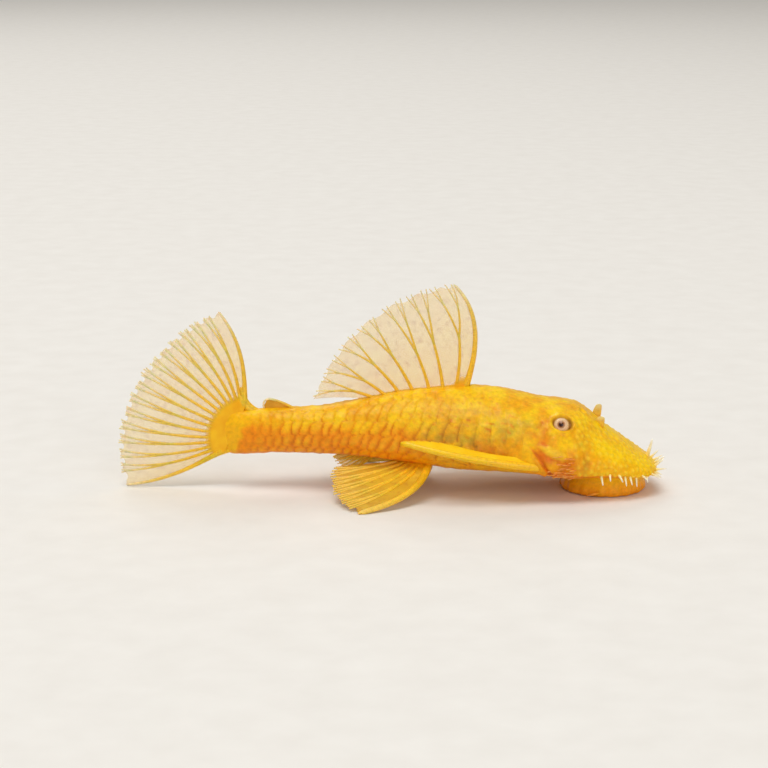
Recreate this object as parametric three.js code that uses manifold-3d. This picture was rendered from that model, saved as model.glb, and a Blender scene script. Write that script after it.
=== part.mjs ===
// A golden bristlenose pleco, life size, as a still model that rests on its sucker mouth and fin tips.
// Millimetres, +Z up. The head points along +X and the fish's left side is +Y.
// The origin is on the floor, under the middle of the whole fish.
import * as THREE from "three";
import { mergeVertices } from "three/addons/utils/BufferGeometryUtils.js";
import Module from "manifold-3d";

const wasm = await Module();
wasm.setup();

// Driving dimensions
const GAP = 0.3; // clearance between neighbouring pieces
const SNOUT_X = 58; // tip of the snout
const BODY_LENGTH = 97.7; // snout to the end of the fleshy tail base
const HEAD_END_X = 30.6; // behind the gill cover
const TORSO_END_X = -13; // behind the dorsal and pelvic fins
const EYE_RADIUS = 1.9;
const EYE_DISTANCE = 21.7; // behind the snout
const EYE_ANGLE = 43; // degrees round the body from the back
const EYE_SINK = 0.75; // how deep the eyeball's middle lies under the skin
const MOUTH_X = 46.3;
const MOUTH_RADIUS = 9.2;
const FIN_HALF = 0.25; // half the thickness of a fin's membrane

// Body outlines, as [distance behind the snout, height or half width]
const backLine = profile([
  [0, 4.9], [1.3, 6.7], [2.6, 7.8], [4.2, 8.9], [7.5, 11.4], [12.2, 14.7], [15.2, 17.1], [17.9, 19.1],
  [21.4, 19.8], [25.1, 20.3], [30, 21.4], [35.4, 22.5], [41.2, 23], [45.6, 22.8], [56.1, 21.8],
  [67.8, 19.4], [75.9, 18.2], [87.8, 17.8], [93, 17], [97.7, 14],
]);
const bellyLine = profile([
  [0, 4.5], [2, 4.2], [20, 4.2], [28, 5.2], [43, 5.4], [56.6, 6.9], [70, 7.9], [83, 8], [92, 7.6], [97.7, 9],
]);
const halfWidth = profile([
  [0, 0], [0.4, 4.3], [1.5, 7], [3.7, 9.3], [8.1, 11.5], [12.5, 12.7], [16.9, 13.5], [23, 14.2], [30.2, 13.8],
  [34.6, 13], [41.2, 11.8], [56.6, 8.8], [69.8, 6.2], [82.9, 4.1], [91.8, 2.5], [97.7, 0.8],
]);
const widestHeight = profile([
  [0, 4.7], [4, 5.2], [12, 6.6], [21, 8], [30, 9.2], [45, 10.2], [60, 11.5], [75, 12.8], [97.7, 12],
]);
const upperRoundness = profile([[0, 2], [12, 1.9], [30, 2], [50, 1.9], [70, 2.1], [97.7, 2]]);
const lowerRoundness = profile([[0, 2.4], [20, 2.8], [60, 2.6], [80, 2.1], [97.7, 2]]);

// Soft swellings of the head: place on the right side, height and spread
const HEAD_SWELLINGS = [
  { at: [37.5, 7.6, 18], height: 0.7, spread: 2.4 }, // brow
  { at: [38.5, 13.6, 8], height: 0.5, spread: 2.6 }, // cheek
  { at: [33.5, 13.8, 11], height: 0.5, spread: 2.2 }, // gill cover
  { at: [43.6, 4, 17], height: 0.5, spread: 1.5 }, // nostril mound
  { at: [42, 9.6, 13.4], height: -0.4, spread: 1.8 }, // hollow before the eye
];

// Bony plates: five rows on each side, each plate lifting to a rear lip over the next one
const PLATE_ROW_EDGES = [8, 35, 62, 90, 118, 148]; // degrees from the back
const PLATES_START = 27.5;
const PLATES_END = 92;
const PLATE_LENGTH_FRONT = 3.1;
const PLATE_LENGTH_REAR = 2.2;
const PLATE_LIFT = 0.35;
const PLATE_LIP = 0.4; // how fast a lip drops to the next plate
const PLATE_POINT = 0.75; // how far a plate's middle reaches behind its corners
const PLATE_SLANT = 3; // how far a ring's lower end lies behind its upper end

let seed = 7;
function random(low, high) {
  seed = (seed * 1664525 + 1013904223) % 4294967296;
  return low + (high - low) * (seed / 4294967296);
}

// A smooth curve through points given along the fish. It is steep at the snout, as a blunt end is.
function profile(points) {
  const knots = points.map(([distance]) => Math.sqrt(distance));
  const values = points.map(([, value]) => value);
  const rises = values.slice(1).map((value, i) => (value - values[i]) / (knots[i + 1] - knots[i]));
  const slopes = values.map((value, i) => {
    if (i === 0) return rises[0];
    if (i === rises.length) return rises[i - 1];
    const product = rises[i - 1] * rises[i];
    return product > 0 ? (2 * product) / (rises[i - 1] + rises[i]) : 0;
  });
  return (distance) => {
    const s = Math.sqrt(THREE.MathUtils.clamp(distance, 0, BODY_LENGTH));
    let i = 0;
    while (i < rises.length - 1 && s > knots[i + 1]) i += 1;
    const width = knots[i + 1] - knots[i];
    const t = (s - knots[i]) / width;
    const blend = t * t * (3 - 2 * t);
    const start = t * (1 - t) * (1 - t) * width * slopes[i];
    const end = t * t * (t - 1) * width * slopes[i + 1];
    return values[i] * (1 - blend) + values[i + 1] * blend + start + end;
  };
}

// A point of the smooth skin: distance behind the snout, and angle from the back round the left side
function skinPoint(distance, angle) {
  const d = THREE.MathUtils.clamp(distance, 0, BODY_LENGTH);
  const side = Math.sin(angle);
  const rise = Math.cos(angle);
  const power = 2 / (rise >= 0 ? upperRoundness(d) : lowerRoundness(d));
  const widest = widestHeight(d);
  const reach = rise >= 0 ? backLine(d) - widest : widest - bellyLine(d);
  return new THREE.Vector3(
    SNOUT_X - d,
    halfWidth(d) * Math.sign(side) * Math.abs(side) ** power,
    widest + reach * Math.sign(rise) * Math.abs(rise) ** power,
  );
}

function skinNormal(distance, angle) {
  const along = skinPoint(distance + 0.05, angle).sub(skinPoint(Math.max(distance - 0.05, 0.001), angle));
  const around = skinPoint(distance, angle + 0.01).sub(skinPoint(distance, angle - 0.01));
  return around.cross(along).normalize();
}

// A point above the skin, or under it where the height is negative
function overSkin(distance, degrees, height) {
  const angle = THREE.MathUtils.degToRad(degrees);
  return skinPoint(distance, angle).addScaledVector(skinNormal(distance, angle), height);
}

function headSwelling(point) {
  let height = 0;
  for (const swelling of HEAD_SWELLINGS) {
    const [x, y, z] = swelling.at;
    const away = Math.hypot(point.x - x, Math.abs(point.y) - y, point.z - z);
    height += swelling.height * Math.exp(-0.5 * (away / swelling.spread) ** 2);
  }
  return height;
}

// Lines along the body, from the back down one side and up the other. plate is 1 on a plate's face.
function bodyColumns() {
  const side = [];
  for (let row = 0; row < PLATE_ROW_EDGES.length - 1; row += 1) {
    const top = PLATE_ROW_EDGES[row];
    const bottom = PLATE_ROW_EDGES[row + 1];
    side.push({ degrees: top, plate: 0 });
    side.push({ degrees: THREE.MathUtils.lerp(top, bottom, 0.27), plate: 1 });
    side.push({ degrees: THREE.MathUtils.lerp(top, bottom, 0.73), plate: 1 });
  }
  side.push({ degrees: PLATE_ROW_EDGES.at(-1), plate: 0 });
  side.push({ degrees: 164, plate: 0 });
  const otherSide = side.map(({ degrees, plate }) => ({ degrees: 360 - degrees, plate })).reverse();
  return [{ degrees: 0, plate: 0.5 }, ...side, { degrees: 180, plate: 0 }, ...otherSide];
}

// Rings round the body. plate is 1 at the rear lip of a ring of plates.
function bodyRings() {
  const rings = [];
  for (let k = 0; k < 13; k += 1) rings.push({ distance: 0.22 + 25.4 * (k / 12) ** 1.6, plate: 0 });
  let distance = PLATES_START;
  while (distance < PLATES_END) {
    rings.push({ distance, plate: 1 });
    rings.push({ distance: distance + PLATE_LIP, plate: 0 });
    distance += plateLength(distance);
  }
  for (const back of [3.6, 2.2, 1.1, 0.35]) rings.push({ distance: BODY_LENGTH - back, plate: 0 });
  return rings;
}

function plateLength(distance) {
  const along = (distance - PLATES_START) / (PLATES_END - PLATES_START);
  return THREE.MathUtils.lerp(PLATE_LENGTH_FRONT, PLATE_LENGTH_REAR, along);
}

// The whole body as one closed shell, grown outwards by the given clearance
function bodyShell(grow) {
  const columns = bodyColumns();
  const rings = bodyRings();
  const vertices = [skinPoint(0, 0).setX(SNOUT_X + grow)];
  for (const ring of rings) {
    const { smoothstep } = THREE.MathUtils;
    const plated = smoothstep(ring.distance, 20, 32) * (1 - smoothstep(ring.distance, 84, 93));
    for (const column of columns) {
      const angle = THREE.MathUtils.degToRad(column.degrees);
      const down = 1 - Math.abs(column.degrees / 180 - 1);
      const back = plated * (PLATE_SLANT * (down - 0.5) + PLATE_POINT * column.plate);
      const point = skinPoint(ring.distance + back, angle);
      const lift = plated * PLATE_LIFT * ring.plate * column.plate + headSwelling(point) + grow;
      vertices.push(point.addScaledVector(skinNormal(ring.distance + back, angle), lift));
    }
  }
  vertices.push(new THREE.Vector3(SNOUT_X - BODY_LENGTH - grow, 0, widestHeight(BODY_LENGTH)));
  const count = columns.length;
  const triangles = [];
  const last = vertices.length - 1;
  for (let j = 0; j < count; j += 1) {
    const next = (j + 1) % count;
    triangles.push([0, 1 + j, 1 + next]);
    triangles.push([last, last - count + next, last - count + j]);
    for (let i = 0; i < rings.length - 1; i += 1) {
      const a = 1 + i * count;
      triangles.push([a + j, a + count + j, a + count + next]);
      triangles.push([a + j, a + count + next, a + next]);
    }
  }
  return solidOf(shape(vertices, triangles));
}

// Geometry and solids
const SHORTEST_EDGE = 0.004; // cuts leave slivers finer than this, which are closed up

function shape(vertices, triangles) {
  const geometry = new THREE.BufferGeometry();
  const numbers = vertices.flatMap((vertex) => vertex.toArray());
  geometry.setAttribute("position", new THREE.Float32BufferAttribute(numbers, 3));
  geometry.setIndex(triangles.flat());
  return geometry;
}

// A closed geometry as a solid, with its faces turned outwards
function solidOf(geometry) {
  const plain = geometry.clone();
  plain.deleteAttribute("normal");
  plain.deleteAttribute("uv");
  const merged = mergeVertices(plain, 1e-4);
  const position = merged.attributes.position;
  const corners = [0, 1, 2].map(() => new THREE.Vector3());
  const triangles = [];
  let volume = 0;
  for (let i = 0; i < merged.index.count; i += 3) {
    const [a, b, c] = [0, 1, 2].map((k) => merged.index.getX(i + k));
    if (a === b || b === c || c === a) continue;
    corners.forEach((corner, k) => corner.fromBufferAttribute(position, [a, b, c][k]));
    volume += corners[0].dot(corners[1].clone().cross(corners[2]));
    triangles.push([a, b, c]);
  }
  const outward = volume < 0 ? triangles.map(([a, b, c]) => [a, c, b]) : triangles;
  const mesh = new wasm.Mesh({
    numProp: 3,
    vertProperties: Float32Array.from(position.array),
    triVerts: Uint32Array.from(outward.flat()),
  });
  return new wasm.Manifold(mesh);
}

function largest(solid) {
  return solid.simplify(SHORTEST_EDGE).decompose().sort((a, b) => b.volume() - a.volume())[0];
}

function union(solids) {
  return solids.reduce((sum, solid) => sum.add(solid));
}

function placed(geometry, position, direction) {
  const turn = new THREE.Quaternion().setFromUnitVectors(new THREE.Vector3(0, 0, 1), direction);
  geometry.applyQuaternion(turn).translate(position.x, position.y, position.z);
  return solidOf(geometry);
}

function block(length, width, height, position, tilt = 0) {
  const geometry = new THREE.BoxGeometry(length, width, height);
  geometry.rotateY(tilt).translate(...position);
  return solidOf(geometry);
}

// A soft bristle or a bony spine: a bent, tapering spike of few sides
function spike({ root, bend, tip, radius, rings, sides }) {
  const path = new THREE.QuadraticBezierCurve3(root, bend, tip);
  const vertices = [];
  const triangles = [];
  for (let i = 0; i < rings; i += 1) {
    const t = i / rings;
    const forward = path.getTangent(t);
    const across = new THREE.Vector3(0.31, 0.17, 0.94).cross(forward).normalize();
    const over = forward.clone().cross(across);
    const size = radius * (1 - 0.6 * t);
    for (let j = 0; j < sides; j += 1) {
      const angle = (j / sides) * 2 * Math.PI;
      const rim = path.getPoint(t).addScaledVector(across, size * Math.cos(angle));
      vertices.push(rim.addScaledVector(over, size * Math.sin(angle)));
      const next = (j + 1) % sides;
      if (i > 0) {
        const a = (i - 1) * sides;
        triangles.push([a + j, a + next, a + sides + next], [a + j, a + sides + next, a + sides + j]);
      }
      if (i === rings - 1) triangles.push([i * sides + j, i * sides + next, rings * sides]);
    }
  }
  vertices.push(tip.clone());
  for (let j = 1; j < sides - 1; j += 1) triangles.push([0, j + 1, j]);
  return solidOf(shape(vertices, triangles));
}

// A fin is a fan: u runs from its leading spine to its last ray, v from its root out to its margin
function fanPoint(fan, u, v) {
  const root = fan.root.getPoint(u);
  const margin = fan.margin.getPoint(u);
  const bend = root.clone().lerp(margin, 0.5).add(fan.bow(u));
  const point = root.clone().multiplyScalar((1 - v) * (1 - v));
  point.addScaledVector(bend, 2 * v * (1 - v)).addScaledVector(margin, v * v);
  if (fan.sway) point.y += fan.sway(u, v);
  return point;
}

function fanNormal(fan, u, v) {
  const step = 0.002;
  const across = fanPoint(fan, u + step, v).sub(fanPoint(fan, u - step, v));
  const along = fanPoint(fan, u, v + step).sub(fanPoint(fan, u, v - step));
  return across.cross(along).normalize();
}

function fanSpan(fan, u, v) {
  const step = 0.002;
  return fanPoint(fan, u + step, v).distanceTo(fanPoint(fan, u - step, v)) / (2 * step);
}

// How much of u a spine takes up at one row
function spineShare(fan, end, v) {
  return Math.min(0.35, (fan.spine.thickness * (1.15 - 0.6 * v)) / fanSpan(fan, end, v));
}

// The stout first spine, round in section. atEnd makes it the last one.
function spineColumns(fan, atEnd) {
  const { thickness } = fan.spine;
  const columns = [0, 0.25, 0.5, 0.75, 1].map((part) => ({
    u: (v) => (atEnd ? 1 - part * spineShare(fan, 1, v) : part * spineShare(fan, 0, v)),
    half: (v) => {
      const round = (thickness / 2) * (1 - 0.55 * v) * Math.sqrt(1 - (2 * part - 1) ** 2);
      return part === 1 ? FIN_HALF : round;
    },
    past: 0.4,
  }));
  return atEnd ? columns.reverse() : columns;
}

// A soft ray: one ridge that parts in two from the split out to the margin, or stays one with no split.
// share is its place between the spines, and spacing the distance to the next ray.
function rayColumns(fan, share, spacing) {
  const crest = 0.26;
  const parted = (v) => (fan.split ? Math.max(0, (v - fan.split) / (1 - fan.split)) : 0);
  const sides = fan.split ? [-2, -1, 0, 1, 2] : [-2, 0, 2];
  return sides.map((side) => ({
    u: (v) => {
      const first = spineShare(fan, 0, v);
      const room = 1 - first - (fan.endSpine ? spineShare(fan, 1, v) : 0);
      const middle = first + share * room;
      const span = fanSpan(fan, middle, v);
      const spread = 0.13 + 0.24 * spacing * room * span * parted(v);
      const offset = Math.abs(side) === 2 ? spread + crest : spread * Math.abs(side);
      return middle + Math.sign(side) * Math.min(offset / span, 0.23 * spacing * room * Math.abs(side));
    },
    half: (v) => {
      const ridge = fan.ridge * (1 - 0.55 * v);
      if (Math.abs(side) === 2) return FIN_HALF;
      return FIN_HALF + ridge * (side === 0 && parted(v) > 0 ? 0.1 : 1);
    },
    past: Math.abs(side) === 1 || !fan.split ? 0.5 : 0,
  }));
}

function finSolid(fan) {
  const columns = spineColumns(fan, false);
  const steps = fan.rays + (fan.endSpine ? 1 : 0.5);
  for (let k = 1; k <= fan.rays; k += 1) {
    const share = fan.shares ? fan.shares[k - 1] : k / steps;
    columns.push(...rayColumns(fan, share, 1 / steps));
  }
  if (fan.endSpine) columns.push(...spineColumns(fan, true));
  else columns.push({ u: () => 1, half: () => FIN_HALF, past: 0 });
  const vertices = [];
  for (const side of [1, -1]) {
    for (const row of fan.rows) {
      for (const column of columns) {
        const u = column.u(row);
        const length = fan.root.getPoint(u).distanceTo(fan.margin.getPoint(u));
        const v = row * (1 + (column.past / length) * row ** 3);
        const point = fanPoint(fan, u, v);
        vertices.push(point.addScaledVector(fanNormal(fan, u, row), side * column.half(row)));
      }
    }
  }
  const wide = columns.length;
  const sheet = wide * fan.rows.length;
  const triangles = [];
  const quad = (a, b, c, d) => triangles.push([a, b, c], [a, c, d]);
  for (let i = 0; i < fan.rows.length - 1; i += 1) {
    for (let j = 0; j < wide - 1; j += 1) {
      const a = i * wide + j;
      const [b, c, d] = [a + 1, a + wide + 1, a + wide];
      triangles.push([a, b, c], [a, c, d]);
      triangles.push([a + sheet, c + sheet, b + sheet], [a + sheet, d + sheet, c + sheet]);
    }
    const left = i * wide;
    const right = left + wide - 1;
    quad(left, left + wide, left + wide + sheet, left + sheet);
    quad(right, right + sheet, right + wide + sheet, right + wide);
  }
  for (let j = 0; j < wide - 1; j += 1) {
    const top = sheet - wide + j;
    quad(j, j + sheet, j + 1 + sheet, j + 1);
    quad(top, top + 1, top + 1 + sheet, top + sheet);
  }
  return solidOf(shape(vertices, triangles));
}

function curve(...points) {
  const vectors = points.map((point) => new THREE.Vector3(...point));
  if (vectors.length === 2) return new THREE.LineCurve3(...vectors);
  if (vectors.length === 3) return new THREE.QuadraticBezierCurve3(...vectors);
  return new THREE.CubicBezierCurve3(...vectors);
}

// Fins
const ROWS = [0, 0.25, 0.48, 0.66, 0.84, 1];

function dorsalFin() {
  return finSolid({
    root: curve([16.2, 0, 21.6], [5, 0, 21.2], [-4.6, 0, 19.6]),
    margin: curve([13.6, 0, 45.2], [-9.5, 0, 42], [-17.4, 0, 19.9]),
    bow: (u) => new THREE.Vector3(0.8 + 6 * Math.max(0, 1 - 6 * u), 0, 1.2 + 3 * Math.max(0, 1 - 6 * u)),
    sway: (u, v) => 0.7 * v * Math.sin(5 * u + 1.5 * v),
    spine: { thickness: 1.3 },
    rays: 7,
    shares: [0.06, 0.18, 0.327, 0.498, 0.653, 0.81, 0.93], // the first ray stands close to the spine
    ridge: 0.24,
    split: 0.5,
    rows: [0, 0.2, 0.4, 0.58, 0.74, 0.88, 1],
  });
}

function caudalFin() {
  return finSolid({
    root: curve([-32.4, 0, 18.2], [-37, 0, 8.2]),
    margin: curve([-37.6, 0, 39.2], [-50.5, 0, 34.4], [-64.2, 0, 18.5], [-58.8, 0, 0.1]),
    bow: (u) => {
      const near = 1.6 * (1 - u) ** 6;
      return new THREE.Vector3(2.6 - 3.2 * u + near, 0, 0.7 - 4 * u + near);
    },
    sway: (u, v) => 0.8 * v * v * Math.sin(6 * u + v),
    spine: { thickness: 1.1 },
    endSpine: true,
    rays: 14,
    ridge: 0.2,
    split: 0.5,
    rows: [0, 0.28, 0.54, 0.78, 1],
  });
}

function adiposeFin() {
  return finSolid({
    root: curve([-20.8, 0, 17.4], [-27.6, 0, 17]),
    margin: curve([-27.2, 0, 20.2], [-28, 0, 20], [-28.4, 0, 18]),
    bow: (u) => new THREE.Vector3(0, 0, 0.8 - 0.8 * u),
    spine: { thickness: 1 },
    rays: 0,
    rows: [0, 0.35, 0.7, 1],
  });
}

function analFin() {
  return finSolid({
    root: curve([-2.2, 0, 8.2], [-6, 0, 8.7]),
    margin: curve([-9.4, 0, 3.7], [-11.6, 0, 4.4], [-12.6, 0, 6.4]),
    bow: (u) => new THREE.Vector3(0, 0, -0.6 + 0.4 * u),
    spine: { thickness: 0.9 },
    rays: 4,
    ridge: 0.2,
    rows: [0, 0.25, 0.5, 0.75, 1],
  });
}

function pectoralFin() {
  return finSolid({
    root: curve([33.6, -13.6, 7.5], [32, -13, 8.7], [30.4, -12.6, 9.9]),
    margin: curve([1.5, -14.6, 13.6], [4.5, -12.9, 14.2], [13, -12.5, 12.6]),
    bow: (u) => new THREE.Vector3(0.5, -4.4 + 1.4 * u, -1.2 + 0.6 * u),
    spine: { thickness: 1.7 },
    rays: 6,
    ridge: 0.2,
    rows: [0, 0.18, 0.36, 0.54, 0.72, 0.86, 1],
  });
}

function pelvicFin() {
  return finSolid({
    root: curve([8.4, -6.4, 7.2], [6.4, -4.6, 7.4], [4, -3.4, 7.6]),
    margin: curve([-6.8, -22, 0.25], [-14.8, -16, 2], [-12.5, -5.2, 6]),
    bow: (u) => {
      const near = (1 - u) ** 2;
      return new THREE.Vector3(1 + 5.7 * near, -0.5 - 1.8 * near, -0.3 - 1.3 * near);
    },
    spine: { thickness: 1.7 },
    rays: 5,
    ridge: 0.2,
    split: 0.5,
    rows: ROWS,
  });
}

// Head fittings, made on the right side and mirrored
function mirrored(solid) {
  return solid.mirror([0, 1, 0]);
}

function eyeCentre() {
  return overSkin(EYE_DISTANCE, 360 - EYE_ANGLE, -EYE_SINK);
}

function eyeAxis() {
  return skinNormal(EYE_DISTANCE, THREE.MathUtils.degToRad(360 - EYE_ANGLE));
}

function orbitRim() {
  const rim = new THREE.TorusGeometry(EYE_RADIUS + GAP + 0.3, 0.5, 5, 14);
  return placed(rim, eyeCentre().addScaledVector(eyeAxis(), EYE_SINK), eyeAxis());
}

function eyeball(radius) {
  return placed(new THREE.SphereGeometry(radius, 12, 8), eyeCentre(), eyeAxis());
}

function nostrilFlap() {
  const leaf = new THREE.SphereGeometry(1, 8, 6).scale(1.25, 0.4, 1.7).rotateZ(-0.35).rotateY(-0.25);
  return placed(leaf, overSkin(13.8, 344, 0.7), new THREE.Vector3(0, 0, 1));
}

function nostrilPits() {
  const pit = (distance) => {
    const hollow = new THREE.IcosahedronGeometry(0.6, 0);
    return placed(hollow, overSkin(distance, 343, 0.45), new THREE.Vector3(0, 0, 1));
  };
  return [pit(12.4), pit(16.9)];
}

// Soft bristles along the rim of the snout, one side: short and hanging at the back, longer in front
function rimBristles() {
  const bristles = [];
  const count = 10;
  for (let k = 0; k < count; k += 1) {
    const along = k / (count - 1);
    const distance = 0.35 + 12 * along ** 1.5;
    const degrees = 262 + random(-5, 5);
    const out = skinNormal(distance, THREE.MathUtils.degToRad(degrees));
    const length = THREE.MathUtils.lerp(2.7, 1.7, along) * random(0.85, 1.15);
    const root = overSkin(distance, degrees, -0.9);
    const drop = THREE.MathUtils.lerp(0.5, -1.2, along) + random(-0.3, 0.3);
    const tip = overSkin(distance, degrees, 0).addScaledVector(out, length);
    tip.z += drop;
    const bend = root.clone().lerp(tip, 0.6).add(new THREE.Vector3(0, 0, 0.25));
    bristles.push(spike({ root, bend, tip, radius: 0.42, rings: 2, sides: 5 }));
  }
  return bristles;
}

// The few bristles on top of the snout, one of them upright in the middle
function snoutBristles() {
  const places = [[1.9, 354, 3.6], [0.8, 308, 2.2], [0.7, 47, 2.3], [0.45, 340, 2.4]];
  return places.map(([distance, degrees, length]) => {
    const root = overSkin(distance, degrees, -0.9);
    const tip = overSkin(distance, degrees, length * 0.75).add(new THREE.Vector3(0.1, 0, length * 0.35));
    const bend = root.clone().lerp(tip, 0.5).add(new THREE.Vector3(0.15, 0, 0));
    return spike({ root, bend, tip, radius: 0.4, rings: 3, sides: 5 });
  });
}

// The bony spines of the cheek, pointing back and out
function cheekSpines() {
  const spines = [];
  for (let row = 0; row < 4; row += 1) {
    for (let k = 0; k < 3; k += 1) {
      const distance = 18.2 + 1.3 * k + 0.5 * (row % 2) + random(-0.2, 0.2);
      const degrees = 282 - 8.5 * row + random(-1.5, 1.5);
      const root = overSkin(distance, degrees, -0.7);
      const tip = overSkin(distance + 1.9, degrees, random(1.1, 1.6));
      const bend = overSkin(distance + 0.6, degrees, 0.9);
      spines.push(spike({ root, bend, tip, radius: 0.3, rings: 2, sides: 4 }));
    }
  }
  return spines;
}

// The sucker mouth: a round disc of lip with the mouth opening in its middle, flat on the floor
function mouthDisc(grownBody) {
  const outline = [
    [0, 1.8], [1.9, 1.7], [2.9, 0.8], [3.3, 0], [MOUTH_RADIUS - 0.6, 0], [MOUTH_RADIUS, 0.5],
    [MOUTH_RADIUS, 1.3], [MOUTH_RADIUS - 0.8, 2.6], [MOUTH_RADIUS - 0.6, 6.5], [0, 6.5],
  ];
  const disc = new THREE.LatheGeometry(outline.map(([r, z]) => new THREE.Vector2(r, z)), 26);
  disc.rotateX(Math.PI / 2).translate(MOUTH_X, 0, 0);
  const pieces = [solidOf(disc)];
  for (const side of [-1, 1]) {
    const point = (x, y, z) => new THREE.Vector3(MOUTH_X + x, side * y, z);
    const barbel = { root: point(-1, 8.2, 1), bend: point(-2.6, 10, 1.2), tip: point(-4.9, 10.8, 1) };
    pieces.push(spike({ ...barbel, radius: 0.55, rings: 3, sides: 5 }));
  }
  return largest(union(pieces).subtract(grownBody));
}

// Assembly
const body = bodyShell(0);
const grownBody = bodyShell(GAP);
const floor = block(200, 200, 20, [0, 0, -10]);
const cuts = [block(GAP, 80, 80, [HEAD_END_X, 0, 12], 0.2), block(GAP, 80, 80, [TORSO_END_X, 0, 12])];
const lengths = cuts.reduce((left, cut) => left.subtract(cut), body).decompose();
const middleX = (solid) => (solid.boundingBox().min[0] + solid.boundingBox().max[0]) / 2;
const [headLength, torso, tail] = lengths.sort((a, b) => middleX(b) - middleX(a));

function head() {
  const oneSide = [orbitRim(), nostrilFlap(), ...rimBristles(), ...cheekSpines()];
  const fittings = [...oneSide, ...oneSide.map(mirrored), ...snoutBristles()];
  const hollows = [eyeball(EYE_RADIUS + GAP), ...nostrilPits()];
  const whole = union([headLength, ...fittings]);
  const allHollows = [...hollows, ...hollows.map(mirrored)];
  return largest(allHollows.reduce((left, hollow) => left.subtract(hollow), whole));
}

function seated(fin) {
  return largest(fin.subtract(grownBody).subtract(floor));
}

const pectoral = seated(pectoralFin());
const pelvic = seated(pelvicFin());
const eye = eyeball(EYE_RADIUS);

const skin = { color: 0xe6ad1a, roughness: 0.42, metalness: 0 };
const fins = { color: 0xc98f2c, roughness: 0.4, metalness: 0 };
const nodes = {
  head: [head(), skin],
  torso: [largest(torso), skin],
  tail: [largest(tail), { color: 0xdf871c, roughness: 0.45, metalness: 0 }],
  mouth_disc: [mouthDisc(grownBody), { color: 0xd28316, roughness: 0.5, metalness: 0 }],
  eye_right: [eye, { color: 0xdcb556, roughness: 0.15, metalness: 0 }],
  eye_left: [mirrored(eye), { color: 0xdcb556, roughness: 0.15, metalness: 0 }],
  dorsal_fin: [seated(dorsalFin()), fins],
  adipose_fin: [seated(adiposeFin()), fins],
  caudal_fin: [seated(caudalFin()), fins],
  anal_fin: [seated(analFin()), fins],
  pectoral_fin_right: [pectoral, { color: 0xf5bf2d, roughness: 0.4, metalness: 0 }],
  pectoral_fin_left: [mirrored(pectoral), { color: 0xf5bf2d, roughness: 0.4, metalness: 0 }],
  pelvic_fin_right: [pelvic, fins],
  pelvic_fin_left: [mirrored(pelvic), fins],
};

const pleco = new THREE.Group();
for (const [name, [solid, finish]] of Object.entries(nodes)) {
  const { vertProperties, triVerts } = solid.getMesh();
  const geometry = new THREE.BufferGeometry();
  geometry.setAttribute("position", new THREE.BufferAttribute(vertProperties, 3));
  geometry.setIndex(new THREE.BufferAttribute(triVerts, 1));
  geometry.computeVertexNormals();
  const mesh = new THREE.Mesh(geometry, new THREE.MeshStandardMaterial(finish));
  mesh.name = name;
  pleco.add(mesh);
}

export default pleco;
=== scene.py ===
# %% [markdown]
# A golden bristlenose pleco, life size, made as a museum shows it: a small armoured catfish lying still on
# its sucker mouth, with soft bristles round the snout, rows of bony plates down its sides and fanned fins.
# The solids of the fish are packed already, and they fix every size and place. This lesson dresses them.
# One skin covers head, body and tail, and the eyes, bristles, mouth and fins are pieces of their own over
# it. Each is drawn from the same outlines as its solid, so it needs no fitting.

# %% Load the frame
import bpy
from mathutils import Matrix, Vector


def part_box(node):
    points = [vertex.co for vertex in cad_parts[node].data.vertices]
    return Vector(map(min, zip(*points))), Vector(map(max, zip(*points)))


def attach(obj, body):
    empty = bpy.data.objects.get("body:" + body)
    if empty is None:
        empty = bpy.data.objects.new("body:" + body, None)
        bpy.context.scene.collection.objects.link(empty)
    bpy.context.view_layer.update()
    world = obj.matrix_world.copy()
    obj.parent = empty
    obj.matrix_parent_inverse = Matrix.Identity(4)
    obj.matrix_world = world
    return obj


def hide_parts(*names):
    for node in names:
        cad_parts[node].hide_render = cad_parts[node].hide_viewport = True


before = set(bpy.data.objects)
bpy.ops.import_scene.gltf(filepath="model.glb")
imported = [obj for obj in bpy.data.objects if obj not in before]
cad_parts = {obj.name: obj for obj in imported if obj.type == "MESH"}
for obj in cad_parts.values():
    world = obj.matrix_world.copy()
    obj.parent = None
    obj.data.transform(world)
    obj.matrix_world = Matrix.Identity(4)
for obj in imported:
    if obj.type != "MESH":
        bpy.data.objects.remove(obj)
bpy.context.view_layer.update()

import math

import bpy
import numpy as np
from mathutils import Vector
from mathutils.kdtree import KDTree

BODY = "root"
MM = 0.001

# %% [markdown]
# A few helpers come first. An operator acts on all that is selected, so everything is deselected before one
# is used. Vertices are read and written as whole arrays, in millimetres, which is quick and keeps the sizes
# readable. A value painted on the vertices, such as how orange the skin is, can be read by a material.

# %% Helpers for pieces
def select_only(*pieces):
    bpy.ops.object.select_all(action="DESELECT")
    for piece in pieces:
        piece.select_set(True)
    bpy.context.view_layer.objects.active = pieces[0]


def named(name):
    """Names the piece that an operator has just added, which is the only one selected."""
    piece = bpy.context.object
    select_only(piece)
    piece.name = name
    piece.data.name = name
    return piece


def places(piece):
    numbers = np.empty(len(piece.data.vertices) * 3, np.float32)
    piece.data.vertices.foreach_get("co", numbers)
    return numbers.reshape(-1, 3).astype(float)


def set_places(piece, millimetres):
    piece.data.vertices.foreach_set("co", (millimetres * MM).astype(np.float32).ravel())
    piece.data.update()


def paint(piece, name, values):
    layer = piece.data.attributes.new(name, "FLOAT", "POINT")
    layer.data.foreach_set("value", np.ascontiguousarray(values, dtype=np.float32))


def face_outwards(piece):
    select_only(piece)
    bpy.ops.object.mode_set(mode="EDIT")
    bpy.ops.mesh.select_all(action="SELECT")
    bpy.ops.mesh.normals_make_consistent(inside=False)
    bpy.ops.object.mode_set(mode="OBJECT")


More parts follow.
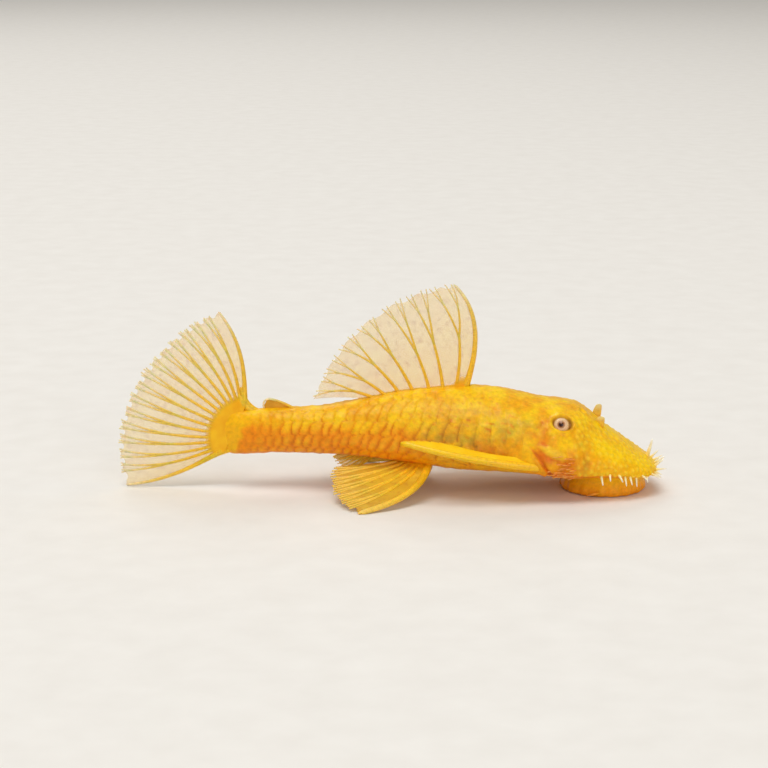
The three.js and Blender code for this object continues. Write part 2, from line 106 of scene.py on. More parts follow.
def finish_piece(piece, material, slot, *nodes):
    """Gives a piece its material and its place in the frame, standing for the nodes that are named."""
    piece.data.materials.clear()
    piece.data.materials.append(material)
    select_only(piece)
    bpy.ops.object.shade_smooth()
    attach(piece, BODY)
    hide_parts(*nodes)
    print(piece.name, len(piece.data.polygons), "faces")


print("still selected after loading:", len(bpy.context.selected_objects), "solids")

# %% [markdown]
# Three small functions give every form that grows rather than being cut. Ease turns one thing gradually
# into another, as the plates give way to the bare belly. Mound is a soft rise with no edge, for swellings
# and creases. Ripple is the slight unevenness of all living things, a sum of waves whose directions are
# random but seeded, so that each run gives the same fish.

# %% Helpers for numbers
def ease(low, high, value):
    """Rises smoothly from 0 at low to 1 at high."""
    t = np.clip((value - low) / (high - low), 0, 1)
    return t * t * (3 - 2 * t)


def mound(away, spread):
    """A soft round rise, 1 in its middle."""
    return np.exp(-0.5 * (away / spread) ** 2)


def ripple(points, wavelength, seed):
    """Smooth random unevenness from about -1 to 1, the same in every run."""
    rng = np.random.default_rng(seed)
    waves = rng.normal(size=(9, 3))
    waves *= 2 * np.pi / wavelength * rng.uniform(0.7, 1.4, (9, 1)) / np.linalg.norm(waves, axis=1)[:, None]
    return np.sin(points @ waves.T + rng.uniform(0, 2 * np.pi, 9)).sum(1) / 4


print("ease half way up:", ease(0, 1, 0.5), "and a mound one spread from its middle:", mound(1, 1).round(2))

# %% [markdown]
# The body is a run of rounded cross-sections, placed by how far they lie behind the snout. Four outlines
# say how high the back and belly are, how wide the fish is, and at what height it is widest, and two more
# say how square each section is. They are the outlines of the solids, written out again because a scene
# reads nothing but the frame. Spacing the curve by the square root of the distance makes the snout blunt
# and round.

# %% Body outlines, in millimetres behind the snout
SNOUT_X = 58
BODY_LENGTH = 97.7


def profile(points):
    """A smooth curve through [distance, value] points."""
    knots = np.sqrt([distance for distance, _ in points])
    values = np.array([value for _, value in points], float)
    widths = np.diff(knots)
    rises = np.diff(values) / widths
    product = rises[:-1] * rises[1:]
    turns = np.where(product > 0, 2 * product / np.where(product > 0, rises[:-1] + rises[1:], 1), 0)
    slopes = np.concatenate([rises[:1], turns, rises[-1:]])

    def value_at(distance):
        s = np.sqrt(np.clip(distance, 0, BODY_LENGTH))
        i = np.clip(np.searchsorted(knots, s, side="right") - 1, 0, len(rises) - 1)
        t = (s - knots[i]) / widths[i]
        blend = t * t * (3 - 2 * t)
        start = t * (1 - t) ** 2 * widths[i] * slopes[i]
        end = t * t * (t - 1) * widths[i] * slopes[i + 1]
        return values[i] * (1 - blend) + values[i + 1] * blend + start + end

    return value_at


back_line = profile([
    [0, 4.9], [1.3, 6.7], [2.6, 7.8], [4.2, 8.9], [7.5, 11.4], [12.2, 14.7], [15.2, 17.1], [17.9, 19.1],
    [21.4, 19.8], [25.1, 20.3], [30, 21.4], [35.4, 22.5], [41.2, 23], [45.6, 22.8], [56.1, 21.8],
    [67.8, 19.4], [75.9, 18.2], [87.8, 17.8], [93, 17], [97.7, 14],
])
belly_line = profile([
    [0, 4.5], [2, 4.2], [20, 4.2], [28, 5.2], [43, 5.4], [56.6, 6.9], [70, 7.9], [83, 8], [92, 7.6],
    [97.7, 9],
])
half_width = profile([
    [0, 0], [0.4, 4.3], [1.5, 7], [3.7, 9.3], [8.1, 11.5], [12.5, 12.7], [16.9, 13.5], [23, 14.2],
    [30.2, 13.8], [34.6, 13], [41.2, 11.8], [56.6, 8.8], [69.8, 6.2], [82.9, 4.1], [91.8, 2.5], [97.7, 0.8],
])
widest_height = profile([
    [0, 4.7], [4, 5.2], [12, 6.6], [21, 8], [30, 9.2], [45, 10.2], [60, 11.5], [75, 12.8], [97.7, 12],
])
upper_roundness = profile([[0, 2], [12, 1.9], [30, 2], [50, 1.9], [70, 2.1], [97.7, 2]])
lower_roundness = profile([[0, 2.4], [20, 2.8], [60, 2.6], [80, 2.1], [97.7, 2]])


def skin_point(distance, angle):
    """A point of the smooth body. The angle goes from the back round the fish's left side."""
    side = np.sin(angle)
    rise = np.cos(angle)
    power = 2 / np.where(rise >= 0, upper_roundness(distance), lower_roundness(distance))
    widest = widest_height(distance)
    reach = np.where(rise >= 0, back_line(distance) - widest, widest - belly_line(distance))
    y = half_width(distance) * np.sign(side) * np.abs(side) ** power
    z = widest + reach * np.sign(rise) * np.abs(rise) ** power
    return np.stack([SNOUT_X - np.clip(distance, 0, BODY_LENGTH) + 0 * y, y, z], axis=-1)


def skin_normal(distance, angle):
    along = skin_point(distance + 0.05, angle) - skin_point(np.maximum(distance - 0.05, 0.001), angle)
    around = skin_point(distance, angle + 0.01) - skin_point(distance, angle - 0.01)
    normal = np.cross(around, along)
    return normal / np.maximum(np.linalg.norm(normal, axis=-1, keepdims=True), 1e-9)


def over_skin(distance, degrees, height):
    """A point above the smooth skin, or under it where the height is negative."""
    angle = np.radians(degrees)
    return skin_point(distance, angle) + height * skin_normal(distance, angle)


print("widest:", 2 * half_width(23.0), "mm, deepest:", back_line(41.2) - belly_line(41.2), "mm")

# %% [markdown]
# The camera stands where the picture of the fish was taken from: beside its middle, looking along +Y and 13
# degrees down. A long lens from far away hardly bends the perspective, so sizes can be compared anywhere in
# the picture. The standard view transform keeps strong yellows, which the default one would wash out.

# %% Camera
VIEW_DOWN = math.radians(13)
VIEW_DISTANCE = 466.5
VIEW_CENTRE = Vector((-2, 0, 23.3))

back = Vector((0, -math.cos(VIEW_DOWN), math.sin(VIEW_DOWN)))
bpy.ops.object.camera_add(location=(VIEW_CENTRE + back * VIEW_DISTANCE) * MM)
camera = bpy.context.object
camera.name = "camera"
camera.rotation_euler = (math.pi / 2 - VIEW_DOWN, 0, 0)
camera.data.lens = 100
camera.data.sensor_width = 36
camera.data.clip_start = 0.02
scene = bpy.context.scene
scene.camera = camera
scene.view_settings.view_transform = "Standard"
print("camera:", VIEW_DISTANCE, "mm away, looking", round(math.degrees(VIEW_DOWN)), "degrees down")

# %% [markdown]
# A material is a tree of nodes, joined socket to socket. Three helpers keep the trees short to write. One
# turns a hex colour, as in a paint program, into Blender's linear light. One adds a node with its settings
# and links. One makes a material with a single Principled shader, which can be skin, bone or a wet film by
# its numbers.

# %% Helpers for materials
def hex_colour(text):
    """An sRGB hex colour as Blender's linear red, green, blue and alpha."""
    parts = [int(text[i:i + 2], 16) / 255 for i in (1, 3, 5)]
    return [p / 12.92 if p <= 0.04045 else ((p + 0.055) / 1.055) ** 2.4 for p in parts] + [1]


def add_node(tree, kind, inputs=None, **settings):
    """Adds one node. An input is a number, a colour, another node's output or the name of a painted mask."""
    made = tree.nodes.new(kind)
    for key, value in settings.items():
        setattr(made, key, value)
    for key, value in (inputs or {}).items():
        if isinstance(value, str):
            value = add_node(tree, "ShaderNodeAttribute", attribute_name=value).outputs["Fac"]
        if isinstance(value, bpy.types.NodeSocket):
            tree.links.new(value, made.inputs[key])
        else:
            made.inputs[key].default_value = value
    return made


def new_material(name, roughness, **settings):
    """A material with one Principled shader. Settings are plain numbers on its sockets."""
    material = bpy.data.materials.new(name)
    material.use_nodes = True
    shader = material.node_tree.nodes["Principled BSDF"]
    shader.inputs["Roughness"].default_value = roughness
    for key, value in settings.items():
        shader.inputs[key.replace("_", " ")].default_value = value
    return material, material.node_tree, shader


print("half-bright grey is", round(hex_colour("#808080")[0], 3), "in linear light")

# %% [markdown]
# The fish lies on matt studio paper, pressed from pulp, which has no gloss and only a faint grain. A large
# soft lamp over the fish gives the bright back and the shaded belly, a weaker one fills the near side, and
# a third lights the far edge. Lamps as large as these throw the soft shadow of an overcast sky.

# %% Floor and light
FLOOR_SIZE = 8  # metres
GRAINS_ACROSS = 900.0  # about 9 mm each, far coarser than real paper, so that the grain shows at all
WORLD_STRENGTH = 0.41

bpy.ops.mesh.primitive_plane_add(size=FLOOR_SIZE)
floor = named("floor")
floor_paint, tree, shader = new_material("matt_studio_paper", 0.85)
grain = add_node(tree, "ShaderNodeTexNoise", {"Scale": GRAINS_ACROSS, "Detail": 3.0})
tint = add_node(tree, "ShaderNodeMix", {0: grain.outputs[0], 6: hex_colour("#e9e5de"),
                                        7: hex_colour("#f3f0ea")}, data_type="RGBA")
tree.links.new(tint.outputs[2], shader.inputs["Base Color"])
floor.data.materials.append(floor_paint)

LAMPS = [
    # name, place in mm, size in mm, watts
    ("over", (-300, -500, 2200), 1300, 26),
    ("near", (700, -1800, 900), 1200, 9),
    ("rim", (-500, 1500, 1500), 900, 9),
]
for name, place, size, watts in LAMPS:
    bpy.ops.object.light_add(type="AREA", location=Vector(place) * MM)
    lamp = bpy.context.object
    lamp.name = "lamp_" + name
    lamp.data.size = size * MM
    lamp.data.energy = watts
    lamp.rotation_euler = (Vector((0, 0, 15)) - Vector(place)).to_track_quat("-Z", "Y").to_euler()

world = bpy.data.worlds.new("pale_studio")
scene.world = world
world.use_nodes = True
sky = world.node_tree.nodes["Background"]
sky.inputs["Color"].default_value = hex_colour("#f4f1ec")
sky.inputs["Strength"].default_value = WORLD_STRENGTH
print("lamps:", len(LAMPS), "with", sum(watts for *_, watts in LAMPS), "watts in all")

# %% [markdown]
# The skin of this fish is armour: bony plates in five rows a side, each ending in a raised rear lip that
# lies over the next plate. The belly is bare. The plates could be separate shells, but on the fish they are
# one skin, or they could be a bump map, but that would be missing from the mesh. So they are relief on the
# smooth body: a height above it for every vertex. This cell says where the rows and the rings of plates
# lie.

# %% Places of the plates
PLATE_ROWS_FRONT = np.array([6, 28, 57, 77, 105, 140])  # edges of the rows, in degrees from the back
PLATE_ROWS_REAR = np.array([6, 26, 56, 88, 120, 150])
ROW_SHIFTS = np.array([0.5, 0, 0.15, 0.6, 0.1])  # how far each row's joints lie back, in plate lengths
PLATES_START = 27.5
PLATES_END = 92
PLATE_LENGTH_FRONT = 3.3
PLATE_LENGTH_REAR = 2.2
FINER_PLATES = (38, 64)  # where the plates turn from the front length to the rear one
ROWS_TURN = (62, 76)  # where the rows turn from their front places to their rear ones
PLATES_RISE = (24, 42)  # where the armour begins behind the head
PLATES_FLATTEN = (79, 88)  # where it grows fainter before the tail fin
PLATES_CEASE = (87, 93)
LOWEST_PLATE = (112, 150)  # the armour's lower edge in degrees, before and behind the pelvic fins
LOWER_EDGE_DROPS = (50, 64)


def plate_lips():
    lips = [PLATES_START - PLATE_LENGTH_FRONT]
    while lips[-1] < PLATES_END + PLATE_LENGTH_REAR:
        finer = ease(*FINER_PLATES, lips[-1])
        lips.append(lips[-1] + PLATE_LENGTH_FRONT + (PLATE_LENGTH_REAR - PLATE_LENGTH_FRONT) * finer)
    return np.array(lips)


print("rings of plates:", len(plate_lips()) - 1, "of", len(ROW_SHIFTS), "rows a side")

# %% [markdown]
# Every place on the flank belongs to one plate: its angle round the body gives the row, and its distance
# behind the snout gives the ring, once the ring has been slanted, pointed and made to wander a little. How
# far it lies behind the front edge of its plate then gives its height, rising to the lip and dropping to
# the next plate, and masks for the dark joint and the bright middle, which the colours use. Low over the
# pectoral spine the joints are not lightened, which paints shade between the plates there.

# %% Relief of the plates
PLATE_LIFT = 0.3
PLATE_LIP = 0.42  # how fast a lip drops to the next plate
PLATE_POINT = 0.4  # how far a plate's middle reaches behind its corners
PLATE_SLANT = 3  # how far a ring's lower end lies behind its upper end
MIDDLE_SLANT = 5.6  # how much more the rings slant under the dorsal fin
JOINT_WIDTH = 0.6
GROOVE_DEPTH = 0.03  # of the lines between the rows


def deep_plates(distance, side):
    """Where the plates stand out most and their joints get painted shade: low on the flank, over the pectoral
    spine.
    """
    return mound(distance - 46, 7) * mound(side - 88, 20)


def plate_relief(distance, degrees):
    """The plates' height in mm, with masks for their joints, their bright middles and where there are any."""
    side = 180 - np.abs(degrees - 180)
    side = side + 2.5 * np.sin(0.8 * distance) * np.sin(0.23 * distance + 1) * ease(5, 20, side)
    plated = ease(*PLATES_RISE, distance) * (1 - 0.45 * ease(*PLATES_FLATTEN, distance))
    plated *= 1 - ease(*PLATES_CEASE, distance)
    lower_end = LOWEST_PLATE[0] + (LOWEST_PLATE[1] - LOWEST_PLATE[0]) * ease(*LOWER_EDGE_DROPS, distance)
    rows = ease(4, 26, side) * (1 - ease(lower_end - 7, lower_end, side))
    edges = PLATE_ROWS_FRONT + (PLATE_ROWS_REAR - PLATE_ROWS_FRONT) * ease(*ROWS_TURN, distance)[:, None]
    row = np.clip((side[:, None] > edges).sum(1) - 1, 0, len(ROW_SHIFTS) - 1)
    top = np.take_along_axis(edges, row[:, None], 1)[:, 0]
    bottom = np.take_along_axis(edges, row[:, None] + 1, 1)[:, 0]
    down = np.clip((side - top) / (bottom - top), 0, 1)
    crown = 1 - np.abs(2 * down - 1) ** 4
    slant = PLATE_SLANT * (side / 180 - 0.5)
    slant += MIDDLE_SLANT * mound(distance - 54, 11) * (ease(20, 112, side) - 0.5)
    wander = 0.26 * np.sin(0.9 * distance + 2.1 * row) + 0.16 * np.sin(1.7 * distance + 0.11 * side)
    wander += PLATE_LENGTH_REAR * ROW_SHIFTS[row]
    ring = distance + wander - plated * (slant + PLATE_POINT * crown)
    lips = plate_lips()
    i = np.clip(np.searchsorted(lips, ring) - 1, 0, len(lips) - 2)
    length = lips[i + 1] - lips[i]
    past = np.clip((ring - lips[i]) / length, 0, 1)
    lip = 1 - ease(0, 1, past * length / PLATE_LIP)
    height = np.maximum(past ** 0.8, lip) * (0.7 + 0.3 * crown) + 0.08 * mound(down - 0.5, 0.16) * past
    across = np.minimum(down, 1 - down) * 5
    joint = np.maximum(np.exp(-((past * length / JOINT_WIDTH) ** 2)), 0.25 * np.exp(-((across / 0.35) ** 2)))
    groove = GROOVE_DEPTH * np.exp(-((across / 0.3) ** 2))
    vivid = 0.5 + 0.5 * np.sin(12.9 * i + 4.7 * row) * np.sin(5.3 * i + 2.9 * row)
    middle = mound(past - 0.62, 0.21) * mound(down - 0.5, 0.3) * (0.45 + 0.55 * vivid)
    on = plated * rows * (1 - 0.65 * (1 - ease(42, 58, distance)) * (1 - ease(50, 60, side)))
    deep = deep_plates(distance, side)
    # Low over the pectoral spine the joints are not lightened: painted shade between the plates.
    joint *= 1 - (0.6 - 0.25 * ease(38, 55, distance)) * (1 - vivid) * (1 - deep)
    lift = PLATE_LIFT * (1 - 0.3 * ease(*FINER_PLATES, distance)) * (1 + 0.6 * deep)
    return on * (lift * height - groove), on * joint, on * middle, on


along_flank = plate_relief(np.linspace(50, 60, 200), np.full(200, 90.0))[0]
print("a lip stands", np.ptp(along_flank).round(2), "mm above the plate behind it")

# %% [markdown]
# The head is smooth skin over skull. It swells over the brow, cheek and shoulder, and a raised rim and a
# groove go round each eye, whose place comes from the solids. Two pits on each side of the snout are the
# nostrils. Both sides are alike, so every place is written once and a point of the left side is folded over
# to the right.

# %% Swellings, sockets and nostrils of the head
HEAD_SWELLINGS = [
    # name, place on one side, height and spread in mm
    ("brow", (37.5, 7.6, 18), 0.5, 2.4),
    ("cheek", (38.5, 13.6, 8), 0.5, 2.6),
    ("gill cover", (33.5, 13.8, 11), 0.3, 2.2),
    ("shoulder over the pectoral fin", (28.6, 13.4, 9.9), 0.6, 1.9),
    ("pectoral fin base", (32.6, 13.9, 8), 0.85, 1.8),
    ("nostril mound", (43.6, 4, 17), 0.5, 1.5),
    ("hollow before the eye", (42, 9.6, 13.4), -0.4, 1.8),
]
EYE_DISTANCE = 21.7
EYE_ANGLE = 43
MOAT = (1.8, 2.25)  # the groove round the eyeball, in mm from its middle line
ORBIT_RIM = 2.65
RIM_HEIGHT = 0.34
MOAT_DEPTH = 0.32
SOCKET_SQUASH = 1.18  # how much longer the socket is than high
NOSTRIL_ANGLE = 17
NOSTRIL_PITS = (12.4, 16.9)
PIT_RIM_HEIGHT = 0.22
PIT_DEPTH = 0.9

low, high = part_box("eye_right")
eye_centre = np.array((low + high) / 2) / MM
eye_radius = min(high - low) / 2 / MM
eye_axis = skin_normal(EYE_DISTANCE, math.radians(360 - EYE_ANGLE))


def folded(points):
    """The points of both sides on one side, so that a place is written once."""
    return np.stack([points[..., 0], np.abs(points[..., 1]), points[..., 2]], axis=-1)


def away_from(points, place):
    return np.linalg.norm(points - folded(np.asarray(place, float)), axis=-1)


def from_eye_line(points):
    """How far each point lies from the line through the eye's hollow. Heights count for more than lengths."""
    apart = points - folded(eye_centre)
    axis = folded(eye_axis)
    lengthwise = np.cross(axis, np.cross([1, 0, 0], axis))
    lengthwise /= np.linalg.norm(lengthwise)
    across = apart @ lengthwise
    up = apart @ np.cross(axis, lengthwise)
    return np.where(apart @ axis > -1, np.hypot(across, up * SOCKET_SQUASH), 99)


print("eye:", round(2 * eye_radius, 2), "mm across, its middle at", eye_centre.round(1))

# %% [markdown]
# Behind the eye is the gill cover. The gill slit curves down its rear edge, a small ragged plate of bone
# lies on it with a fold below, and there is a crease before it and a hollow where the cheek spines sit. A
# red-orange shadow line is painted along the fold, and shade in the crease.
# The snout is rough with pimples. They could be scattered by a particle system, but a short loop that drops
# every random place too near another gives the same even spread and goes straight into the relief.

# %% Gill cover and pimples of the head
GILL_PLATE = (34.4, 11.2)  # x and z of the middle of the bony plate
GILL_PLATE_SIZE = (3.4, 1.2)
GILL_PLATE_DROP = 1.2  # how steeply it falls towards the snout
SLIT_DISTANCE = 24.4
SLIT_ANGLE = 112  # where the slit reaches furthest forwards
SLIT_WIDTH = 0.32
SLIT_DEPTH = 0.7
CREASE = (41.2, 8.6)  # x and z of the crease before the gill cover
CHEEK_HOLLOW = (36.6, 14, 7.9)
PIMPLE_TRIES = 1100
PIMPLE_SPACING = 1.15
PIMPLE_RADIUS = 0.3
PIMPLE_HEIGHT = 0.2


def gill_plate(one_side):
    """Masks of the gill cover's bony plate, seen from the side, and of the groove below it, painted as a
    shadow line.
    """
    across = (one_side[:, 0] - GILL_PLATE[0]) / GILL_PLATE_SIZE[0]
    up = (one_side[:, 2] - GILL_PLATE[1] + GILL_PLATE_DROP * across) / GILL_PLATE_SIZE[1]
    ragged = 0.16 * ripple(one_side, 1.6, 61)
    outside = one_side[:, 1] > 6
    bone = (1 - ease(0.5, 1.1, np.hypot(across, up) + ragged)) * outside
    # The groove below the plate; its mask paints a red-orange shadow line there.
    shadowed_fold = mound(up + 1.1 + ragged, 0.3) * (1 - ease(0.8, 1.15, np.abs(across))) * outside
    return bone, shadowed_fold


def pimple_places():
    """Random places on one side of the snout, none closer to another than the spacing."""
    rng = np.random.default_rng(11)
    chosen = []
    for place in over_skin(rng.uniform(1.5, 19, PIMPLE_TRIES), rng.uniform(22, 104, PIMPLE_TRIES), 0):
        if all(np.linalg.norm(place - other) > PIMPLE_SPACING for other in chosen):
            chosen.append(place)
    return chosen


print("pimples:", len(pimple_places()), "a side")

# %% [markdown]
# All of these add up to the relief of the head: what swells or stands out raises the skin, and what is
# drawn in lowers it. A head could be sculpted with brushes, but a sum of named forms gives the same head on
# every run, and each form is moved or softened by its own numbers. The masks are kept for the colours:
# those of the socket, the crease and the fold paint shade there.

# %% Relief of the head
def head_relief(points, distance, degrees):
    """The head's height in mm, with masks for its sockets' painted shadow, its gill slit, its creases'
    painted shade, its bony plate, the groove under that plate with its painted shadow line, and its pimples.
    """
    one_side = folded(points)
    height = np.zeros(len(points))
    for _, place, lift, spread in HEAD_SWELLINGS:
        height += lift * mound(away_from(one_side, place), spread)
    from_eye = from_eye_line(one_side)
    height += RIM_HEIGHT * mound(from_eye - ORBIT_RIM, 0.32) - MOAT_DEPTH * (1 - ease(*MOAT, from_eye))
    ahead = np.abs(one_side[:, 0] - eye_centre[0]) / 1.9
    # Painted shadow in the socket round the eyeball, darkest before and behind it.
    socket_shadow = (1 - ease(MOAT[0] + 0.1, MOAT[1] + 0.3, from_eye)) * (0.35 + 0.65 * ease(0.45, 0.9, ahead))
    for pit in NOSTRIL_PITS:
        away = away_from(one_side, over_skin(pit, NOSTRIL_ANGLE, 0))
        height += PIT_RIM_HEIGHT * mound(away - 0.95, 0.25) - PIT_DEPTH * mound(away, 0.42)
    side = 180 - np.abs(degrees - 180)
    slit_line = SLIT_DISTANCE + np.where(side < SLIT_ANGLE, 0.003, 0.0012) * (side - SLIT_ANGLE) ** 2
    slit = mound(distance - slit_line, SLIT_WIDTH) * ease(70, 82, side) * (1 - ease(136, 150, side))
    bone, shadowed_fold = gill_plate(one_side)
    # The crease is drawn in, and its mask paints shade there.
    shaded_crease = mound(one_side[:, 0] - CREASE[0], 0.5) * mound(one_side[:, 2] - CREASE[1], 2.4)
    shaded_crease *= ease(60, 75, side)
    hollow = mound(away_from(one_side, CHEEK_HOLLOW), 2)
    height += 0.3 * bone - 0.25 * shadowed_fold - SLIT_DEPTH * slit - 0.25 * shaded_crease - 0.3 * hollow
    pimples = np.zeros(len(points))
    for place in pimple_places():
        pimples = np.maximum(pimples, mound(away_from(one_side, place), PIMPLE_RADIUS))
    height += PIMPLE_HEIGHT * pimples
    return height, socket_shadow, slit, shaded_crease, bone, shadowed_fold, pimples


cheek = over_skin(np.linspace(18, 26, 9), 270, 0)
cheek_height = head_relief(cheek, np.linspace(18, 26, 9), np.full(9, 270.0))[0]
print("relief from the eye back to the gill slit, in mm:", cheek_height.round(2))

# %% [markdown]
# One closed skin covers the head, torso and tail, so that no seam shows where the solids part. It could be
# built by joining and subdividing those solids, but their triangles would shine through. Here a sphere is
# added with many rings and its poles become snout and tail: each ring takes its place along the fish,
# packed closer towards the snout, and each vertex goes to its angle round the body. The tail end is rounded
# off inside the root of the tail fin.

# %% The skin
SKIN_SEGMENTS = 192
SKIN_RINGS = 520
TAIL_WEDGE = 6  # over this length the skin thins to a wedge inside the root of the tail fin
TAIL_ROUNDING = 1

bpy.ops.mesh.primitive_uv_sphere_add(segments=SKIN_SEGMENTS, ring_count=SKIN_RINGS, radius=1)
skin = named("body_skin")
ball = places(skin)
around = np.arctan2(ball[:, 1], ball[:, 0])
distance = BODY_LENGTH * (np.arctan2(np.hypot(ball[:, 0], ball[:, 1]), ball[:, 2]) / np.pi) ** 1.4
around += 0.09 * np.exp(-(((distance - EYE_DISTANCE) / 9) ** 2)) * np.sin(4 * around)
degrees = np.degrees(around) % 360

smooth_points = skin_point(distance, around)
ending = np.clip((distance - BODY_LENGTH + TAIL_ROUNDING) / TAIL_ROUNDING, 0, 1)
close = np.sqrt(1 - ending ** 2)
smooth_points[:, 1] *= close * (1 - 0.75 * ease(BODY_LENGTH - TAIL_WEDGE, BODY_LENGTH - 1.5, distance))
tail_height = widest_height(distance)
smooth_points[:, 2] = tail_height + (smooth_points[:, 2] - tail_height) * close

plate_height, joint, middle, plated = plate_relief(distance, degrees)
head_height, socket_shadow, slit, shaded_crease, bone, shadowed_fold, pimples = head_relief(smooth_points, distance, degrees)
loose = 0.07 * ripple(smooth_points, 3.2, 3) + 0.03 * ripple(smooth_points, 1.1, 5)
height = plate_height + head_height + loose * (1 - ending) * ease(0, 2, distance)
set_places(skin, smooth_points + height[:, None] * skin_normal(distance, around))
face_outwards(skin)
print("skin:", len(skin.data.polygons), "faces, relief from", height.min().round(2), "to",
      height.max().round(2), "mm")

# %% [markdown]
# The fish is golden, but no two parts of it have the same gold. The back and snout are bright yellow. The
# flank turns orange towards the belly and the tail, where each plate keeps a yellow middle, and the root of
# the tail fin is yellow again. Between the dorsal and pectoral fins the skin is clear enough to show
# grey-green flesh. The gill slit and cheek are reddish. Shade is painted as well: brown in each eye
# socket, darker in the crease before the gill cover, a red-orange shadow line under the gill cover's bony
# plate, and darker joints low over the pectoral spine. The colours could be painted on an unwrapped
# picture. Masks on the vertices need none and follow the relief: they are worked out here, and the material
# mixes colours by them.

# %% Colour masks of the skin
side = 180 - np.abs(degrees - 180)
x_mm, z_mm = smooth_points[:, 0], smooth_points[:, 2]
uneven = ripple(smooth_points, 5.5, 21)
fine = ripple(smooth_points, 2.4, 31)


def patches(places_and_sizes):
    """Soft-edged patches on both sides, each given by its place and size seen from the side."""
    total = np.zeros(len(smooth_points))
    for x, z, long, tall, strength in places_and_sizes:
        total += strength * np.exp(-(((x_mm - x) / long) ** 2) - ((z_mm - z) / tall) ** 2)
    return total * ease(14, 30, side)


CLEAR_PATCHES = [
    # x, z, half length and half height in mm, strength
    (9.5, 13.4, 4.4, 2.6, 1.0), (16.5, 13.2, 4.5, 2.8, 1.0), (24, 15, 3.2, 2.8, 1.0),
    (28.5, 16.4, 3.5, 1.5, 0.7), (14, 18.6, 9, 2.4, 0.35), (40.3, 13.1, 1.8, 1.3, 0.5),
]
RUST_PATCHES = [
    (32.6, 15, 1.3, 6, 0.8), (31.6, 11.6, 1.8, 2, 1.0), (21.5, 11.8, 3, 1.2, 0.8), (37.4, 7.9, 3.4, 1.9, 1.0),
    (38.8, 10.4, 1.6, 1.4, 0.4), (29, 20, 1.4, 0.9, 0.5),
]
lower_flank = ease(50, 82, side + 7 * uneven + 12 * (joint - 0.3))
rear = ease(34, 66, distance + 5 * uneven)
warm = lower_flank * (0.3 + 0.7 * rear) + 0.45 * ease(80, 90, distance) * ease(22, 50, side)
tail_root = ease(90.2, 92.2, distance + 0.4 * fine + 0.22 * (z_mm - 12.5))
warm *= 1 - 0.85 * tail_root
snout_underside = (1 - ease(22, 34, distance)) * ease(96, 112, side + 5 * uneven)
clear_flesh = patches(CLEAR_PATCHES) * (0.6 + 0.45 * fine + 0.7 * joint)
warm *= 1 - 0.45 * np.clip(clear_flesh, 0, 1)
specks = ease(0.55, 0.95, ripple(smooth_points, 1.7, 47)) * patches([(18, 17, 14, 4.5, 1)])
# The red-orange patches, with the painted shadow line under the gill cover's plate added.
rust_and_shadow = patches(RUST_PATCHES) + 0.8 * specks + 0.9 * shadowed_fold
MASKS = {
    # The joints' own orange, made darker low over the pectoral spine as painted shade.
    "joint": joint * np.clip(0.45 + 0.55 * warm + 0.6 * deep_plates(distance, side), 0, 1),
    "middle": middle,
    "warm": np.clip(warm + 0.8 * snout_underside, 0, 1),
    "clear_flesh": np.clip(clear_flesh, 0, 1),
    # Red-orange patches and gill slit, with the painted shadow line under the gill cover's plate.
    "rust_and_shadow": np.clip(rust_and_shadow * (0.8 + 0.3 * fine) * (1 - 0.9 * bone) + slit, 0, 1),
    "tail_root": tail_root,
    # Painted shadow in the socket round each eye.
    "socket_shadow": socket_shadow,
    "belly": ease(138, 160, side),
    "snout": 1 - ease(3, 20, distance + 3 * uneven),
    "pale": np.clip(0.75 * pimples + 0.6 * bone, 0, 1),
    # Painted shade in the crease before the gill cover.
    "shaded_crease": shaded_crease,
    "plated": plated,
}
for name, values in MASKS.items():
    paint(skin, name, values)
    print("mask", name, "is over a half on", round(100 * np.mean(values > 0.5), 1), "% of the skin")

# %% [markdown]
# Moist fish skin is a thin clear layer over pigment and bone, grown and kept wet by its own slime. Light
# goes a little way in and comes back warmer, which subsurface scattering gives, and the slime adds a soft
# second gloss, a coat. The pigment lies in clouds a few millimetres wide, broken up by finer freckles. Over
# the plates the surface is set with teeth about a quarter of a millimetre apart, too small to model, so
# they are bump.

# %% Material: moist golden skin over bone
SKIN_GOLD = "#f0a60a"
SKIN_BRIGHT = "#ffd010"
SKIN_TOOTH_MM = 0.25
MOTTLE_MM = 4
FRECKLE_MM = 0.9
PORE_MM = 0.6
SKIN_LAYERS = [
    # mask, strength and colour, each over the one before
    ("snout", 0.85, "#ffcc00"),
    ("warm", 0.9, "#f88e10"),
    ("tail_root", 0.85, "#ffbc14"),
    ("middle", 0.6, "#ffc828"),
    # Joints: their own orange, darker over the pectoral spine as painted shade.
    ("joint", 0.7, "#d06a0a"),
    ("clear_flesh", 0.5, "#a0943c"),
    # Red-orange patches, with a painted shadow line under the gill cover's plate.
    ("rust_and_shadow", 0.8, "#e06410"),
    # Painted shade in the crease before the gill cover.
    ("shaded_crease", 0.5, "#b0780f"),
    ("pale", 0.8, "#ffd838"),
    # Painted shadow in each eye socket.
    ("socket_shadow", 0.85, "#8a5420"),
    ("belly", 0.6, "#e0923c"),
]


